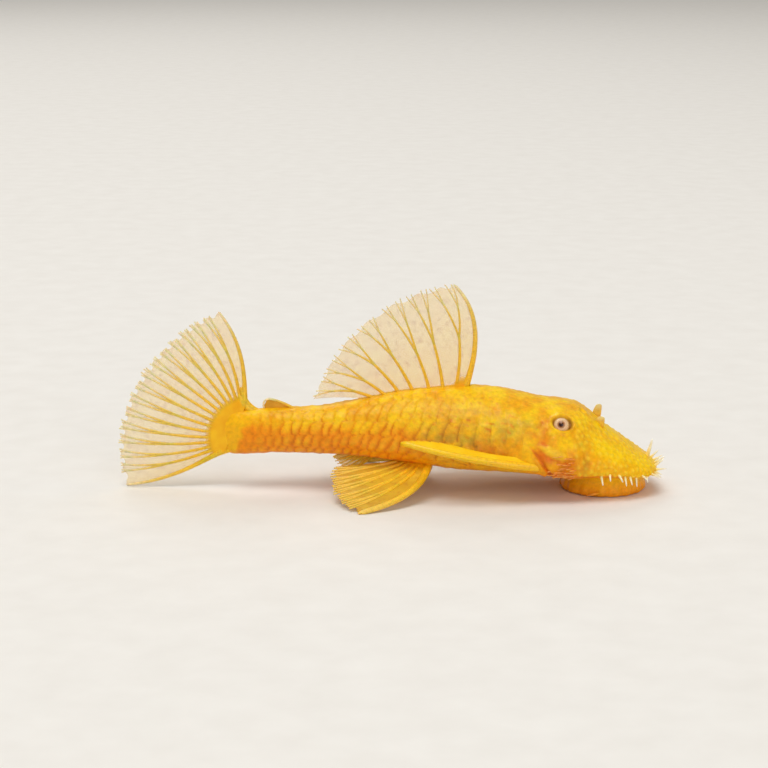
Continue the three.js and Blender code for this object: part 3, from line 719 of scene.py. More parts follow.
def moist_golden_skin():
    material, tree, shader = new_material(
        "moist_golden_skin", 0.4, Subsurface_Weight=0.2, Subsurface_Radius=(1.0, 0.42, 0.1),
        Subsurface_Scale=0.9 * MM, Specular_IOR_Level=0.22, Coat_Weight=0.08, Coat_Roughness=0.16, IOR=1.4)
    place = add_node(tree, "ShaderNodeTexCoord").outputs["Object"]
    mottle = add_node(tree, "ShaderNodeTexNoise", {"Vector": place, "Scale": 1 / (MOTTLE_MM * MM),
                                                   "Detail": 3.0, "Roughness": 0.6}).outputs[0]
    contrast = add_node(tree, "ShaderNodeMapRange", {0: mottle, 1: 0.35, 2: 0.65}).outputs[0]
    colour = add_node(tree, "ShaderNodeMix", {0: contrast, 6: hex_colour(SKIN_GOLD),
                                              7: hex_colour(SKIN_BRIGHT)}, data_type="RGBA").outputs[2]
    for mask, strength, tint in SKIN_LAYERS:
        amount = add_node(tree, "ShaderNodeMath", {0: mask, 1: strength}, operation="MULTIPLY",
                          use_clamp=True).outputs[0]
        colour = add_node(tree, "ShaderNodeMix", {0: amount, 6: colour, 7: hex_colour(tint)},
                          data_type="RGBA").outputs[2]
    freckle = add_node(tree, "ShaderNodeTexNoise", {"Vector": place, "Scale": 1 / (FRECKLE_MM * MM),
                                                    "Detail": 3.0}).outputs[0]
    freckle = add_node(tree, "ShaderNodeMapRange", {0: freckle, 1: 0.3, 2: 0.7, 3: 0.87, 4: 1.09}).outputs[0]
    colour = add_node(tree, "ShaderNodeVectorMath", {0: colour, 1: freckle}, operation="MULTIPLY").outputs[0]
    tree.links.new(colour, shader.inputs["Base Color"])
    teeth = add_node(tree, "ShaderNodeTexVoronoi", {"Vector": place, "Scale": 1 / (SKIN_TOOTH_MM * MM)},
                     feature="SMOOTH_F1").outputs["Distance"]
    on_bone = add_node(tree, "ShaderNodeMapRange", {0: "plated", 3: 0.35, 4: 1.0}).outputs[0]
    tooth_bump = add_node(tree, "ShaderNodeBump", {"Strength": on_bone, "Distance": 0.06 * MM,
                                                   "Height": teeth}, invert=True).outputs[0]
    pores = add_node(tree, "ShaderNodeTexNoise", {"Vector": place, "Scale": 1 / (PORE_MM * MM),
                                                  "Detail": 5.0}).outputs[0]
    bump = add_node(tree, "ShaderNodeBump", {"Strength": 0.5, "Distance": 0.12 * MM, "Height": pores,
                                             "Normal": tooth_bump}).outputs[0]
    tree.links.new(bump, shader.inputs["Normal"])
    patchy = add_node(tree, "ShaderNodeMapRange", {0: pores, 3: 0.32, 4: 0.5}).outputs[0]
    tree.links.new(patchy, shader.inputs["Roughness"])
    return material


golden_skin = moist_golden_skin()
finish_piece(skin, golden_skin, "skin", "head", "torso", "tail")

# %% [markdown]
# The eyeball's surface is a clear cornea, smooth and always wet, over a ring of coloured iris. The smooth
# coat gives the cornea's small sharp glint, and light goes a little way into the iris below it. The iris is
# brown round the pupil, with painted shade widening the brown above it, then pale pink, and golden brown
# where it meets the socket, partly its own colour and partly painted shadow of the socket, with fine flecks.

# %% Material: wet eye
def wet_eye():
    material, tree, shader = new_material(
        "wet_eye", 0.3, Coat_Weight=0.5, Specular_IOR_Level=0.3, Coat_Roughness=0.03, IOR=1.38,
        Subsurface_Weight=0.1, Subsurface_Scale=0.6 * MM)
    ramp = add_node(tree, "ShaderNodeValToRGB", {0: "from_pupil"})
    # Towards the rim of the ball the iris turns golden brown and darker, partly its own colour and partly
    # painted shadow of the socket.
    stops = [(0.0, "#94541c"), (0.36, "#b07038"), (0.5, "#f2c69c"), (0.8, "#eec690"), (0.92, "#c08c3c"),
             (1.0, "#a06c28")]
    for position, tint in stops[1:-1]:
        ramp.color_ramp.elements.new(position)
    for element, (position, tint) in zip(ramp.color_ramp.elements, stops):
        element.position = position
        element.color = hex_colour(tint)
    place = add_node(tree, "ShaderNodeTexCoord").outputs["Object"]
    fleck = add_node(tree, "ShaderNodeTexNoise", {"Vector": place, "Scale": 1 / (0.35 * MM),
                                                  "Detail": 4.0}).outputs[0]
    fleck = add_node(tree, "ShaderNodeMapRange", {0: fleck, 1: 0.3, 2: 0.7, 3: 0.82, 4: 1.12}).outputs[0]
    colour = add_node(tree, "ShaderNodeVectorMath", {0: ramp.outputs[0], 1: fleck},
                      operation="MULTIPLY").outputs[0]
    for mask, tint in (("lobe", "#8a5830"), ("pupil", "#340f02")):
        colour = add_node(tree, "ShaderNodeMix", {0: mask, 6: colour, 7: hex_colour(tint)},
                          data_type="RGBA").outputs[2]
    tree.links.new(colour, shader.inputs["Base Color"])
    return material


eye_finish = wet_eye()
print(eye_finish.name, "has", len(eye_finish.node_tree.nodes), "nodes")

# %% [markdown]
# A pleco's eye is a small ball deep in its bony socket. In daylight a round lobe of the iris hangs down
# into the pupil and leaves a dark horseshoe. Each eye is a sphere of its own, as large as its solid, with
# its pole turned outwards, so that its rings run round the pupil. The pupil and lobe could be separate
# discs, but they would show an edge, so they are painted on the vertices.

# %% Eyes
PUPIL_RADIUS = 0.52
LOBE_RADIUS = 0.26
LOBE_RISE = 0.4
GAZE_UP = math.radians(27)
GAZE_FORWARD = math.radians(-6)
EYE_STEPS = 96
gaze = np.array([math.sin(GAZE_FORWARD), -math.cos(GAZE_FORWARD) * math.cos(GAZE_UP), math.sin(GAZE_UP)])
gaze /= np.linalg.norm(gaze)


def disc(across, up, radius, blur=0.07):
    return 1 - ease(radius - blur, radius + blur, np.hypot(across, up))


for name, mirror in (("eye_right", 1), ("eye_left", -1)):
    bpy.ops.mesh.primitive_uv_sphere_add(segments=EYE_STEPS, ring_count=EYE_STEPS, radius=1)
    eye = named(name + "_ball")
    ball = places(eye)
    forwards = np.cross([0, 0, 1], gaze)
    forwards /= np.linalg.norm(forwards)
    upwards = np.cross(gaze, forwards)
    local = ball * eye_radius
    round_points = eye_centre + local @ np.stack([forwards, upwards, gaze])
    set_places(eye, round_points * [1, mirror, 1])
    across, up, out = local.T
    front = out > 0
    pupil = disc(across, up, PUPIL_RADIUS) * front
    lobe = disc(across, up - LOBE_RISE, LOBE_RADIUS) * front
    paint(eye, "pupil", pupil * (1 - lobe))
    # The lobe mask also paints a brown ring round the pupil, shifted upwards as painted shade at the top of
    # the iris.
    paint(eye, "lobe", pupil * lobe + 0.3 * disc(across, up - 0.2, 0.85, 0.2) * front * (1 - pupil))
    paint(eye, "from_pupil", np.where(front, np.hypot(across, up) / eye_radius, 1))
    face_outwards(eye)
    finish_piece(eye, eye_finish, "eye", name)

# %% [markdown]
# Bristles, cheek spines and teeth are all the same simple form, a bent spike that thins to its tip. One
# spike is modelled by hand: a disc is extruded upwards in steps and drawn in a little at each. Every other
# spike is a copy of its mesh, laid along a curve of its own, and the copies are joined into one piece.

# %% The model spike
SPIKE_STEPS = 7
SPIKE_TAPER = 0.86
LAST_STEP = 0.7  # how long the last step is beside the others
TIP_TAPER = 0.35


def model_spike(sides):
    bpy.ops.mesh.primitive_circle_add(vertices=sides, radius=1, fill_type="NGON")
    spike = named("model_spike")
    bpy.ops.object.mode_set(mode="EDIT")
    bpy.ops.mesh.select_all(action="SELECT")
    for _ in range(SPIKE_STEPS):
        bpy.ops.mesh.extrude_region_move(TRANSFORM_OT_translate={"value": (0, 0, 1 / (SPIKE_STEPS + 1))})
        bpy.ops.transform.resize(value=(SPIKE_TAPER, SPIKE_TAPER, 1))
    bpy.ops.mesh.extrude_region_move(TRANSFORM_OT_translate={"value": (0, 0, LAST_STEP / (SPIKE_STEPS + 1))})
    bpy.ops.transform.resize(value=(TIP_TAPER, TIP_TAPER, 1))
    bpy.ops.object.mode_set(mode="OBJECT")
    face_outwards(spike)
    return spike


def along_curve(model, root, bend, tip, radius):
    """The model spike's places, laid along a curve from root to tip that leans towards bend."""
    t = model[:, 2:3]
    centre = (1 - t) ** 2 * root + 2 * t * (1 - t) * bend + t ** 2 * tip
    forward = 2 * (1 - t) * (bend - root) + 2 * t * (tip - bend)
    forward /= np.linalg.norm(forward, axis=1, keepdims=True)
    across = np.cross([0.31, 0.17, 0.94], forward)
    across /= np.linalg.norm(across, axis=1, keepdims=True)
    return centre + radius * (model[:, :1] * across + model[:, 1:2] * np.cross(forward, across))


def join_spikes(name, curves, sides):
    """One piece of many spikes. A curve is its root, bend, tip and radius."""
    spike = model_spike(sides)
    model = places(spike)
    copies = []
    for root, bend, tip, radius in curves:
        copy = spike.copy()
        copy.data = spike.data.copy()
        bpy.context.collection.objects.link(copy)
        set_places(copy, along_curve(model, root, bend, tip, radius))
        paint(copy, "reach", model[:, 2])
        copies.append(copy)
    select_only(*copies)
    bpy.ops.object.join()
    piece = named(name)
    bpy.data.objects.remove(spike)
    return piece


def both_sides(curves):
    """The curves, and their mirror images on the fish's left."""
    flip = np.array([1, -1, 1])
    return curves + [(root * flip, bend * flip, tip * flip, radius) for root, bend, tip, radius in curves]


print("a spike's tip is", round(TIP_TAPER * SPIKE_TAPER ** SPIKE_STEPS, 2), "as thick as its root")

# %% [markdown]
# The bristles are soft feelers of bare skin round the rim of the snout, short on this fish, paler than the
# head and a little clear. They hang down at the back of the rim and point forwards and up at its front,
# with one upright in the middle. Those of the rim come from a loop, and seeded random numbers vary their
# spacing, lean and length. The few on top are different from side to side, so each is given in a list.

# %% Bristles of the snout
RIM_BRISTLES = 11
rng = np.random.default_rng(5)


def rim_bristles():
    """Short soft bristles round the rim, each leaning its own way."""
    curves = []
    for k in range(RIM_BRISTLES):
        along = (k + rng.uniform(-0.25, 0.25)) / (RIM_BRISTLES - 1)
        distance = 0.6 + 12.6 * max(along, 0) ** 1.4
        degrees = 259 + rng.uniform(-7, 7)
        out = skin_normal(distance, math.radians(degrees))
        length = (2.3 - 0.6 * along) * rng.uniform(0.8, 1.15)
        root = over_skin(distance, degrees, -0.5)
        lean = [rng.uniform(-0.6, 0.7), 0, 0.1 - 1.3 * along + rng.uniform(-0.35, 0.35)]
        tip = over_skin(distance, degrees, 0) + 0.75 * length * out + lean
        bend = root + 0.55 * (tip - root) + [0, 0, 0.25]
        curves.append((root, bend, tip, rng.uniform(0.34, 0.42)))
    return curves


def snout_bristles():
    """The few bristles on top of the snout: distance, degrees, length, rise and thickness of each."""
    curves = []
    for distance, degrees, length, rise, radius in [
            (1.9, 354, 4.2, 0.86, 0.62), (0.7, 318, 2.5, 0.42, 0.42), (0.7, 42, 2.4, 0.5, 0.42),
            (0.5, 344, 2.7, 0.35, 0.42), (0.45, 18, 2.4, 0.3, 0.38), (0.5, 290, 2.5, 0.05, 0.38),
            (0.5, 70, 2.2, 0.0, 0.36)]:
        root = over_skin(distance, degrees, -0.6)
        base = over_skin(distance, degrees, 0)
        tip = base + length * np.array([math.cos(rise * math.pi / 2), 0, math.sin(rise * math.pi / 2)])
        tip += 0.35 * length * skin_normal(distance, math.radians(degrees)) * [0, 1, 0]
        bend = root + 0.5 * (tip - root) + [0.15, 0, 0.1]
        curves.append((root, bend, tip, radius))
    return curves


bristle_curves = both_sides(rim_bristles()) + snout_bristles()
bristles = join_spikes("snout_bristles", bristle_curves, 12)
print("bristles:", len(bristle_curves), "with", len(bristles.data.polygons), "faces")

# %% [markdown]
# Behind the cheek the fish carries a cluster of fine bony spines that it can spread. At rest they lie back
# in a shallow hollow below the gill cover, pointing back, out and a little down. They are thin and hard, so
# they get fewer sides than the bristles, and they grow in staggered rows, which two loops follow.

# %% Cheek spines
CHEEK_ROWS = 6
CHEEK_SPINES_A_ROW = 5


def cheek_spines():
    curves = []
    for row in range(CHEEK_ROWS):
        for k in range(CHEEK_SPINES_A_ROW):
            distance = 17.8 + 1.05 * k + 0.5 * (row % 2) + rng.uniform(-0.25, 0.25)
            degrees = 282 - 6 * row + rng.uniform(-2, 2)
            root = over_skin(distance, degrees, -0.7)
            bend = over_skin(distance + 0.9, degrees, 0.55)
            reach = rng.uniform(2.2, 3.1)
            tip = over_skin(distance + reach, degrees - 1, rng.uniform(0.55, 1.0)) - [0, 0, 0.15]
            curves.append((root, bend, tip, rng.uniform(0.28, 0.38)))
    return curves


cheek_curves = both_sides(cheek_spines())
cheek_piece = join_spikes("cheek_spines", cheek_curves, 6)
print("cheek spines:", len(cheek_curves), "with", len(cheek_piece.data.polygons), "faces")

# %% [markdown]
# A bristle is bare wet skin and a spine is bone that grew through it, yet one recipe serves both: deep
# yellow at the root and pale at the tip, clouded by pigment under a millimetre wide, with light passing
# into the surface. The bristle's coat makes it look moist. The spine is smoother and more amber, and the
# flap dull and thin.

# %% Materials: bristle skin and bony spine
def root_to_tip(name, stops, roughness, **settings):
    """A material whose colour runs from root to tip, by the painted reach."""
    material, tree, shader = new_material(name, roughness, **settings)
    ramp = add_node(tree, "ShaderNodeValToRGB", {0: "reach"})
    for position, tint in stops[1:-1]:
        ramp.color_ramp.elements.new(position)
    for element, (position, tint) in zip(ramp.color_ramp.elements, stops):
        element.position = position
        element.color = hex_colour(tint)
    place = add_node(tree, "ShaderNodeTexCoord").outputs["Object"]
    cloud = add_node(tree, "ShaderNodeTexNoise", {"Vector": place, "Scale": 1 / (0.7 * MM),
                                                  "Detail": 4.0}).outputs[0]
    shade = add_node(tree, "ShaderNodeMapRange", {0: cloud, 1: 0.3, 2: 0.7, 3: 0.86, 4: 1.1}).outputs[0]
    colour = add_node(tree, "ShaderNodeVectorMath", {0: ramp.outputs[0], 1: shade},
                      operation="MULTIPLY").outputs[0]
    tree.links.new(colour, shader.inputs["Base Color"])
    bump = add_node(tree, "ShaderNodeBump", {"Strength": 0.3, "Distance": 0.04 * MM,
                                             "Height": cloud}).outputs[0]
    tree.links.new(bump, shader.inputs["Normal"])
    return material


bristle_skin = root_to_tip("bristle_skin", [(0.0, "#fcc728"), (0.22, "#fee07a"), (0.5, "#fff0c0"),
                                            (1.0, "#fffae8")], 0.35, Subsurface_Weight=0.15,
                           Subsurface_Radius=(1.0, 0.8, 0.5), Subsurface_Scale=0.4 * MM, Coat_Weight=0.2)
flap_skin = root_to_tip("thin_flap_skin", [(0.0, "#f6bc18"), (0.55, "#eec238"), (1.0, "#ecdc98")], 0.4,
                        Subsurface_Weight=0.3, Subsurface_Scale=0.5 * MM)
bony_spine = root_to_tip("bony_spine", [(0.0, "#d4680c"), (0.6, "#f09028"), (1.0, "#fbb44a")], 0.3,
                         Subsurface_Weight=0.2, Subsurface_Scale=0.4 * MM)
finish_piece(bristles, bristle_skin, "skin")
finish_piece(cheek_piece, bony_spine, "skin")

# %% [markdown]
# Between the two nostrils of each side stands a thin flap of skin that steers water through the nose. A
# plane with a thickness would have hard edges, and a real flap thins to a round one. So it is a sphere
# pressed flat, squared, narrowed towards its top and curled along its length. The two stand unevenly, as on
# the living fish: the right one lies lower.

# %% Nostril flaps
FLAP_SIZE = (1.4, 0.15, 1.85)
FLAP_TOP = 0.5  # how wide the top is, as a share of the foot
FLAP_TURN = 0.35  # how far the flap is turned outwards, in radians
FLAP_LEAN = 0.1
flap_root = over_skin(13.8, 360 - NOSTRIL_ANGLE + 1, 0.75)
for name, mirror, tall in (("nostril_flap_right", 1, 0.72), ("nostril_flap_left", -1, 1.0)):
    bpy.ops.mesh.primitive_uv_sphere_add(segments=32, ring_count=24, radius=1)
    flap = named(name)
    leaf = places(flap)
    paint(flap, "reach", 0.5 + 0.5 * leaf[:, 2])
    squarer = np.sqrt(1 - leaf[:, 2] ** 8) / np.maximum(np.sqrt(1 - leaf[:, 2] ** 2), 1e-3)
    wide = 1 - (1 - FLAP_TOP) * (leaf[:, 2] + 1) / 2
    leaf[:, 0] = leaf[:, 0] * squarer * wide + 1 - wide
    leaf[:, 1] += 1.1 * leaf[:, 0] ** 2
    leaf[:, 2] = (leaf[:, 2] + 1) * tall - 1
    leaf *= FLAP_SIZE
    x = leaf[:, 0] * math.cos(FLAP_TURN) + leaf[:, 1] * math.sin(FLAP_TURN)
    y = -leaf[:, 0] * math.sin(FLAP_TURN) + leaf[:, 1] * math.cos(FLAP_TURN)
    z = leaf[:, 2] - FLAP_LEAN * x
    x = x + FLAP_LEAN * leaf[:, 2]
    set_places(flap, (flap_root + np.stack([x, y, z], axis=1)) * [1, mirror, 1])
    face_outwards(flap)
    finish_piece(flap, flap_skin, "skin")

# %% [markdown]
# The mouth is a round sucker under the snout: a broad soft lip that is drawn in to the mouth opening. Its
# section can be turned round a middle line like a dish on a lathe. Spin does that, but leaves a seam and
# open poles to close, so the rings of a sphere are sent along the section instead. The rim is slightly
# wavy, and the face that grips is rough with papillae, soft bumps a millimetre wide.

# %% Sucker mouth
MOUTH_X = 46.3
MOUTH_RADIUS = 9.2
MOUTH_SECTION = [
    # distance from the middle, height above the floor
    (0, 2.9), (1.3, 2.7), (1.9, 1.7), (2.6, 0.7), (3.4, 0.05), (8.0, 0.0), (8.8, 0.12), (9.25, 0.5),
    (9.35, 1.1), (9.15, 1.9), (8.9, 2.7), (8.95, 3.5), (9.35, 4.3), (9.9, 5.0), (9.0, 6.0), (0, 6.2),
]
MOUTH_LEAN = 0.9  # how far forwards the neck of the mouth lies over its rim
PAPILLA_WIDTH = 0.9
PAPILLA_HEIGHT = 0.14


def sucker_mouth():
    bpy.ops.mesh.primitive_uv_sphere_add(segments=180, ring_count=150, radius=1)
    mouth = named("sucker_mouth")
    ball = places(mouth)
    turn = np.arctan2(ball[:, 1], ball[:, 0])
    t = np.arctan2(np.hypot(ball[:, 0], ball[:, 1]), -ball[:, 2]) / np.pi
    section = np.array(MOUTH_SECTION, float)
    steps = np.concatenate([[0], np.cumsum(np.linalg.norm(np.diff(section, axis=0), axis=1))])
    radius = np.interp(t, steps / steps[-1], section[:, 0])
    height = np.interp(t, steps / steps[-1], section[:, 1])
    lip = mound(radius - 9, 0.6) * (1 - ease(1.5, 3.2, height))
    radius = radius * (1 + 0.012 * lip * np.sin(17 * turn) + 0.01 * lip * np.sin(29 * turn + 1))
    middle_x = MOUTH_X + MOUTH_LEAN * ease(1.5, 5, height)
    points = np.stack([middle_x + radius * np.cos(turn), radius * np.sin(turn), height], 1)
    nap = ripple(points, PAPILLA_WIDTH, 41)
    face = ease(2.2, 3.4, radius) * (1 - ease(8.3, 8.9, radius)) * (height < 1)
    points[:, 2] += PAPILLA_HEIGHT * np.clip(nap, 0, 1) * face
    set_places(mouth, points)
    inwards = 1 - np.clip(radius / MOUTH_RADIUS, 0, 1)
    paint(mouth, "reach", 0.3 * (1 - ease(0.4, 3.6, height)) + 0.7 * inwards)
    face_outwards(mouth)
    return mouth


mouth = sucker_mouth()
print("mouth:", (2 * places(mouth)[:, 1].max() / MM).round(1), "mm across")

# %% [markdown]
# A short feeler stands at each corner of the mouth, and two small brushes of teeth in its opening scrape up
# food. Both are spikes again: the feelers become part of the lip, and the teeth stay a piece of their own,
# because tooth is hard and amber. Lip is thick moist skin, soft enough for light to pass deep into it, and
# that depth, a rougher surface and a weak gloss make it look fleshy beside the armour.

# %% Feelers, teeth and the skin of the lip
TEETH_A_ROW = 22
TEETH_REACH = 1.9  # how far to each side a row of teeth goes


def feeler_curves():
    curves = []
    for side in (-1, 1):
        feeler = [np.array([MOUTH_X + x, side * y, z]) for x, y, z in
                  ((-1, 8.2, 1.0), (-2.6, 10.0, 1.2), (-4.9, 10.8, 0.9))]
        curves.append((*feeler, 0.5))
    return curves


def tooth_rows():
    curves = []
    for jaw in (-1, 1):
        for k in range(TEETH_A_ROW):
            y = -TEETH_REACH + 2 * TEETH_REACH * k / (TEETH_A_ROW - 1)
            x = MOUTH_X + jaw * (0.85 - 0.06 * y * y)
            root = np.array([x, y, 2.9])
            tip = np.array([x - 0.35 * jaw, y * 0.96, 1.7])
            curves.append((root, np.array([x + 0.12 * jaw, y, 2.1]), tip, 0.07))
    return curves


feelers = join_spikes("mouth_feelers", feeler_curves(), 12)
select_only(mouth, feelers)
bpy.ops.object.join()
mouth = named("sucker_mouth")
soft_lip = root_to_tip("soft_lip", [(0.0, "#ffbe0c"), (0.3, "#f9a012"), (0.6, "#f0a23a"), (1.0, "#b3641f")],
                       0.45, Subsurface_Weight=0.3, Subsurface_Radius=(1.0, 0.5, 0.2),
                       Subsurface_Scale=1.0 * MM, Specular_IOR_Level=0.2)
finish_piece(mouth, soft_lip, "lips", "mouth_disc")
teeth = join_spikes("teeth", tooth_rows(), 5)
finish_piece(teeth, bony_spine, "lips")

# %% [markdown]
# A fin is a fan. It has a root along the body and a margin far out, and the lines from one to the other are
# bent by a bow and swayed to the side like cloth. Each piece of a fin could be modelled for itself, but
# then each would have to be fitted to the next. Here a place on the fin is given by u, from the first spine
# to the last ray, and v, from the root to the margin, and the same numbers place the membrane, the rays and
# the spine.

# %% Places on a fin
def bezier(points, t):
    """A place along a Bezier curve of two, three or four points."""
    points = [np.asarray(point, float) for point in points]
    t = np.asarray(t, float)[..., None]
    while len(points) > 1:
        points = [a + (b - a) * t for a, b in zip(points, points[1:])]
    return points[0] + 0 * t


def fan_point(fan, u, v):
    root = bezier(fan["root"], u)
    margin = bezier(fan["margin"], u)
    bow = np.stack([np.asarray(part, float) + 0 * u for part in fan["bow"](u)], axis=-1)
    bend = (root + margin) / 2 + bow
    w = np.asarray(v, float)[..., None]
    point = root * (1 - w) ** 2 + bend * 2 * w * (1 - w) + margin * w ** 2
    if "sway" in fan:
        point[..., 1] += fan["sway"](u, v)
    return point


def fan_span(fan, u, v):
    """How many millimetres one whole step of u is at this place."""
    step = 0.002
    return np.linalg.norm(fan_point(fan, u + step, v) - fan_point(fan, u - step, v), axis=-1) / (2 * step)


def spine_share(fan, end, v):
    """How much of u a spine takes up. end is 0 for the first one and 1 for the last."""
    wide = fan["spine"] * (1.15 - 0.6 * v)
    return np.minimum(0.35, wide / fan_span(fan, end + 0 * v, v))


def between_spines(fan, share, v):
    """The u of a place that lies a share of the way across the soft part of the fin."""
    first = spine_share(fan, 0, v)
    last = spine_share(fan, 1, v) if fan.get("end_spine") else 0
    return first + share * (1 - first - last)


print("half way along a bent curve:", bezier([(0, 0, 0), (1, 2, 0), (2, 0, 0)], 0.5))

# %% [markdown]
# The rays are thin bony rods that hold the fin open. Most part in two half way out and again near the
# margin, where the ends fray a little past the membrane. A rod could be extruded step by step, but a curve
# with a round bevel takes its radius at every point, so it tapers by itself. The branches start inside the
# rod they leave, and seeded random numbers shift each ray and fork a little.

# %% Curves of the rays
FRAY = 0.5  # millimetres that ray ends reach past the membrane
ray_rng = np.random.default_rng(19)


def ray_steps(fan):
    return fan["rays"] + (1 if fan.get("end_spine") else 0.5)


def ray_shares(fan):
    """How far across the fin each ray stands, even or as the fin lists it."""
    steps = ray_steps(fan)
    return np.array(fan.get("shares", [k / steps for k in range(1, fan["rays"] + 1)]))


def ray_curves(fan):
    """Each curve as its places and its radii."""
    curves = []
    steps = ray_steps(fan)
    thick = fan["ray_radius"]

    def add(offset, start, end, first, last, count, flare=0):
        v = np.linspace(start, end, count)
        u = between_spines(fan, offset(v), v)
        radii = np.linspace(first, last, count) + flare * np.exp(-v / 0.05)
        curves.append((fan_point(fan, u, v), radii))

    def parted(middle, side, amount, start):
        """The share of a branch that leaves its ray at start and ends an amount of the spacing beside it."""
        return lambda v: middle(v) + side * amount / steps * np.clip((v - start) / (1 - start), 0, 2) ** 0.85

    def straight(share):
        return lambda v: share + 0 * v

    for share in ray_shares(fan):
        middle = straight(share + ray_rng.uniform(-0.05, 0.05) / steps)
        length = np.linalg.norm(bezier(fan["root"], share) - bezier(fan["margin"], share))
        end = 1 + FRAY * ray_rng.uniform(0.2, 1) / length
        if not fan.get("split"):
            add(middle, 0, end, thick, 0.4 * thick, 20, fan.get("flare", 0.3))
            continue
        split = fan["split"] + ray_rng.uniform(-0.07, 0.07)
        add(middle, 0, split + 0.04, thick, 0.75 * thick, 16, fan.get("flare", 0.3))
        for side in (-1, 1):
            branch = parted(middle, side, fan.get("spread", 0.25), split)
            again = fan.get("second_split", 0.8) + ray_rng.uniform(-0.05, 0.05)
            add(branch, split - 0.02, again + 0.03, 0.68 * thick, 0.56 * thick, 10)
            for twig in (-1, 1):
                tip = end + ray_rng.uniform(-0.015, 0.01)
                add(parted(branch, twig, fan.get("twig_spread", 0.1), again), again - 0.02, tip,
                    0.5 * thick, fan.get("tip", 0.36) * thick, 8)
    return curves


print("ray ends fray by up to", FRAY, "mm")

# %% [markdown]
# A spine is the stout first ray of a fin, a single rod of bone with a broad foot. The tail fin has one
# along each edge, and stays, the small spines that prop its corners. The curves of a fin are converted to
# one mesh, because the export needs meshes, and how far out each vertex lies is painted on it for its
# colour.

# %% Spines and rods
SPINE_TAPER = 0.55  # how much of its thickness a spine loses by its tip
SPINE_FLARE = 0.4  # how much its radius grows at its foot


def spine_curves(fan):
    v = np.linspace(0, 1.01, 40)
    curves = []
    for end in ((0, 1) if fan.get("end_spine") else (0,)):
        inward = 0.5 * spine_share(fan, end, v)
        places_along = fan_point(fan, inward if end == 0 else 1 - inward, v)
        radii = fan["spine"] / 2 * (1 - fan.get("taper", SPINE_TAPER) * v)
        radii += fan.get("spine_flare", SPINE_FLARE) * np.exp(-v / 0.07)
        foot = np.sqrt(np.clip((v + 0.005) / 0.05, 0, 1))
        curves.append((places_along, radii * foot * np.sqrt(np.clip((1.015 - v) / 0.05, 0, 1))))
    for points, first, last in fan.get("stays", []):
        t = np.linspace(0, 1, 16)
        radii = (first + (last - first) * t) * np.sqrt(np.clip((1.02 - t) / 0.2, 0, 1))
        curves.append((bezier(points, t), radii))
    return curves


def rods(name, curves, sides):
    """Curves with a round bevel, made one mesh. sides sets how round they are."""
    bpy.ops.curve.primitive_nurbs_path_add()
    rod = named(name)
    rod.data.splines.clear()
    rod.data.dimensions = "3D"
    for points, radii in curves:
        spline = rod.data.splines.new("POLY")
        spline.points.add(len(points) - 1)
        spline.points.foreach_set("co", np.column_stack([points * MM, np.ones(len(points))]).ravel())
        spline.points.foreach_set("radius", radii)
    rod.data.bevel_depth = MM
    rod.data.bevel_resolution = sides // 2 - 2
    rod.data.use_fill_caps = True
    select_only(rod)
    bpy.ops.object.convert(target="MESH")
    return named(name)


def paint_reach(piece, fan):
    """Paints how far out along its fin each vertex lies, from 0 at the root to 1 at the margin."""
    u, v = np.meshgrid(np.linspace(0, 1, 60), np.linspace(0, 1.05, 64))
    samples = fan_point(fan, u.ravel(), v.ravel())
    tree = KDTree(len(samples))
    for i, sample in enumerate(samples):
        tree.insert(sample, i)
    tree.balance()
    flat = v.ravel()
    paint(piece, "reach", [flat[tree.find(place)[1]] for place in places(piece) / MM])


print("a spine thins to", round(1 - SPINE_TAPER, 2), "of its thickness, over a foot that flares by",
      SPINE_FLARE, "mm")

# %% [markdown]
# The membrane is a film of skin between the rays, thin as paper and almost clear, and drawn in a little
# between the ray ends. It is a grid sent to its places on the fin. A Solidify modifier gives it its
# thickness, because its vertex group can make the skin thicker over the root: from a tenth of a millimetre
# to well over one.

# %% Membranes
FILM = 0.12
FLESH = 1.5  # how much thicker the skin over a fin's root is
SCALLOP = 0.035  # how far the margin is drawn in between the rays, as a share of the fin
FILM_STEPS = (140, 70)


def film(name, fan):
    bpy.ops.mesh.primitive_grid_add(x_subdivisions=FILM_STEPS[0], y_subdivisions=FILM_STEPS[1], size=1)
    piece = named(name)
    grid = places(piece)
    u = grid[:, 0] + 0.5
    v = grid[:, 1] + 0.5
    first = spine_share(fan, 0, np.ones(1))[0]
    last = spine_share(fan, 1, np.ones(1))[0] if fan.get("end_spine") else 0
    share = np.clip((u - first) / (1 - first - last), 0, 1)
    held = np.concatenate([[0], ray_shares(fan), [1]])
    i = np.clip(np.searchsorted(held, share) - 1, 0, len(held) - 2)
    between = np.sin(np.pi * (share - held[i]) / (held[i + 1] - held[i])) ** 2
    set_places(piece, fan_point(fan, u, v * (1 - SCALLOP * between * v ** 4)))
    flesh = 1 - ease(-0.05, 0.07, v - fan["flesh"](u))
    paint(piece, "reach", v)
    paint(piece, "flesh", flesh)
    thick = piece.modifiers.new("thickness", "SOLIDIFY")
    pad = fan.get("pad", lambda u, v: FILM + FLESH * np.clip(
        1.1 - v / (np.maximum(fan["flesh"](u), 0) + 0.05), 0, 1))(u, v)
    group = piece.vertex_groups.new(name="thickness")
    for vertex, share_of_most in enumerate(pad / pad.max()):
        group.add([vertex], float(share_of_most), "REPLACE")
    thick.vertex_group = group.name
    thick.thickness = pad.max() * MM
    thick.offset = 0
    select_only(piece)
    bpy.ops.object.modifier_apply(modifier=thick.name)
    return piece


print("membranes are", FILM, "mm thick and up to", round(FILM + 1.1 * FLESH, 2), "mm over the root")

# %% [markdown]
# Fin rays are clear bone with yellow pigment, ringed by the joints that let them bend, about two to a
# millimetre on the large fins. The rings follow the painted reach, so that they lie across each ray. Bone
# of this kind is smooth and a little glossy, and light goes into it.

# %% Material: jointed rays
RAY_JOINTS = 42  # along a ray


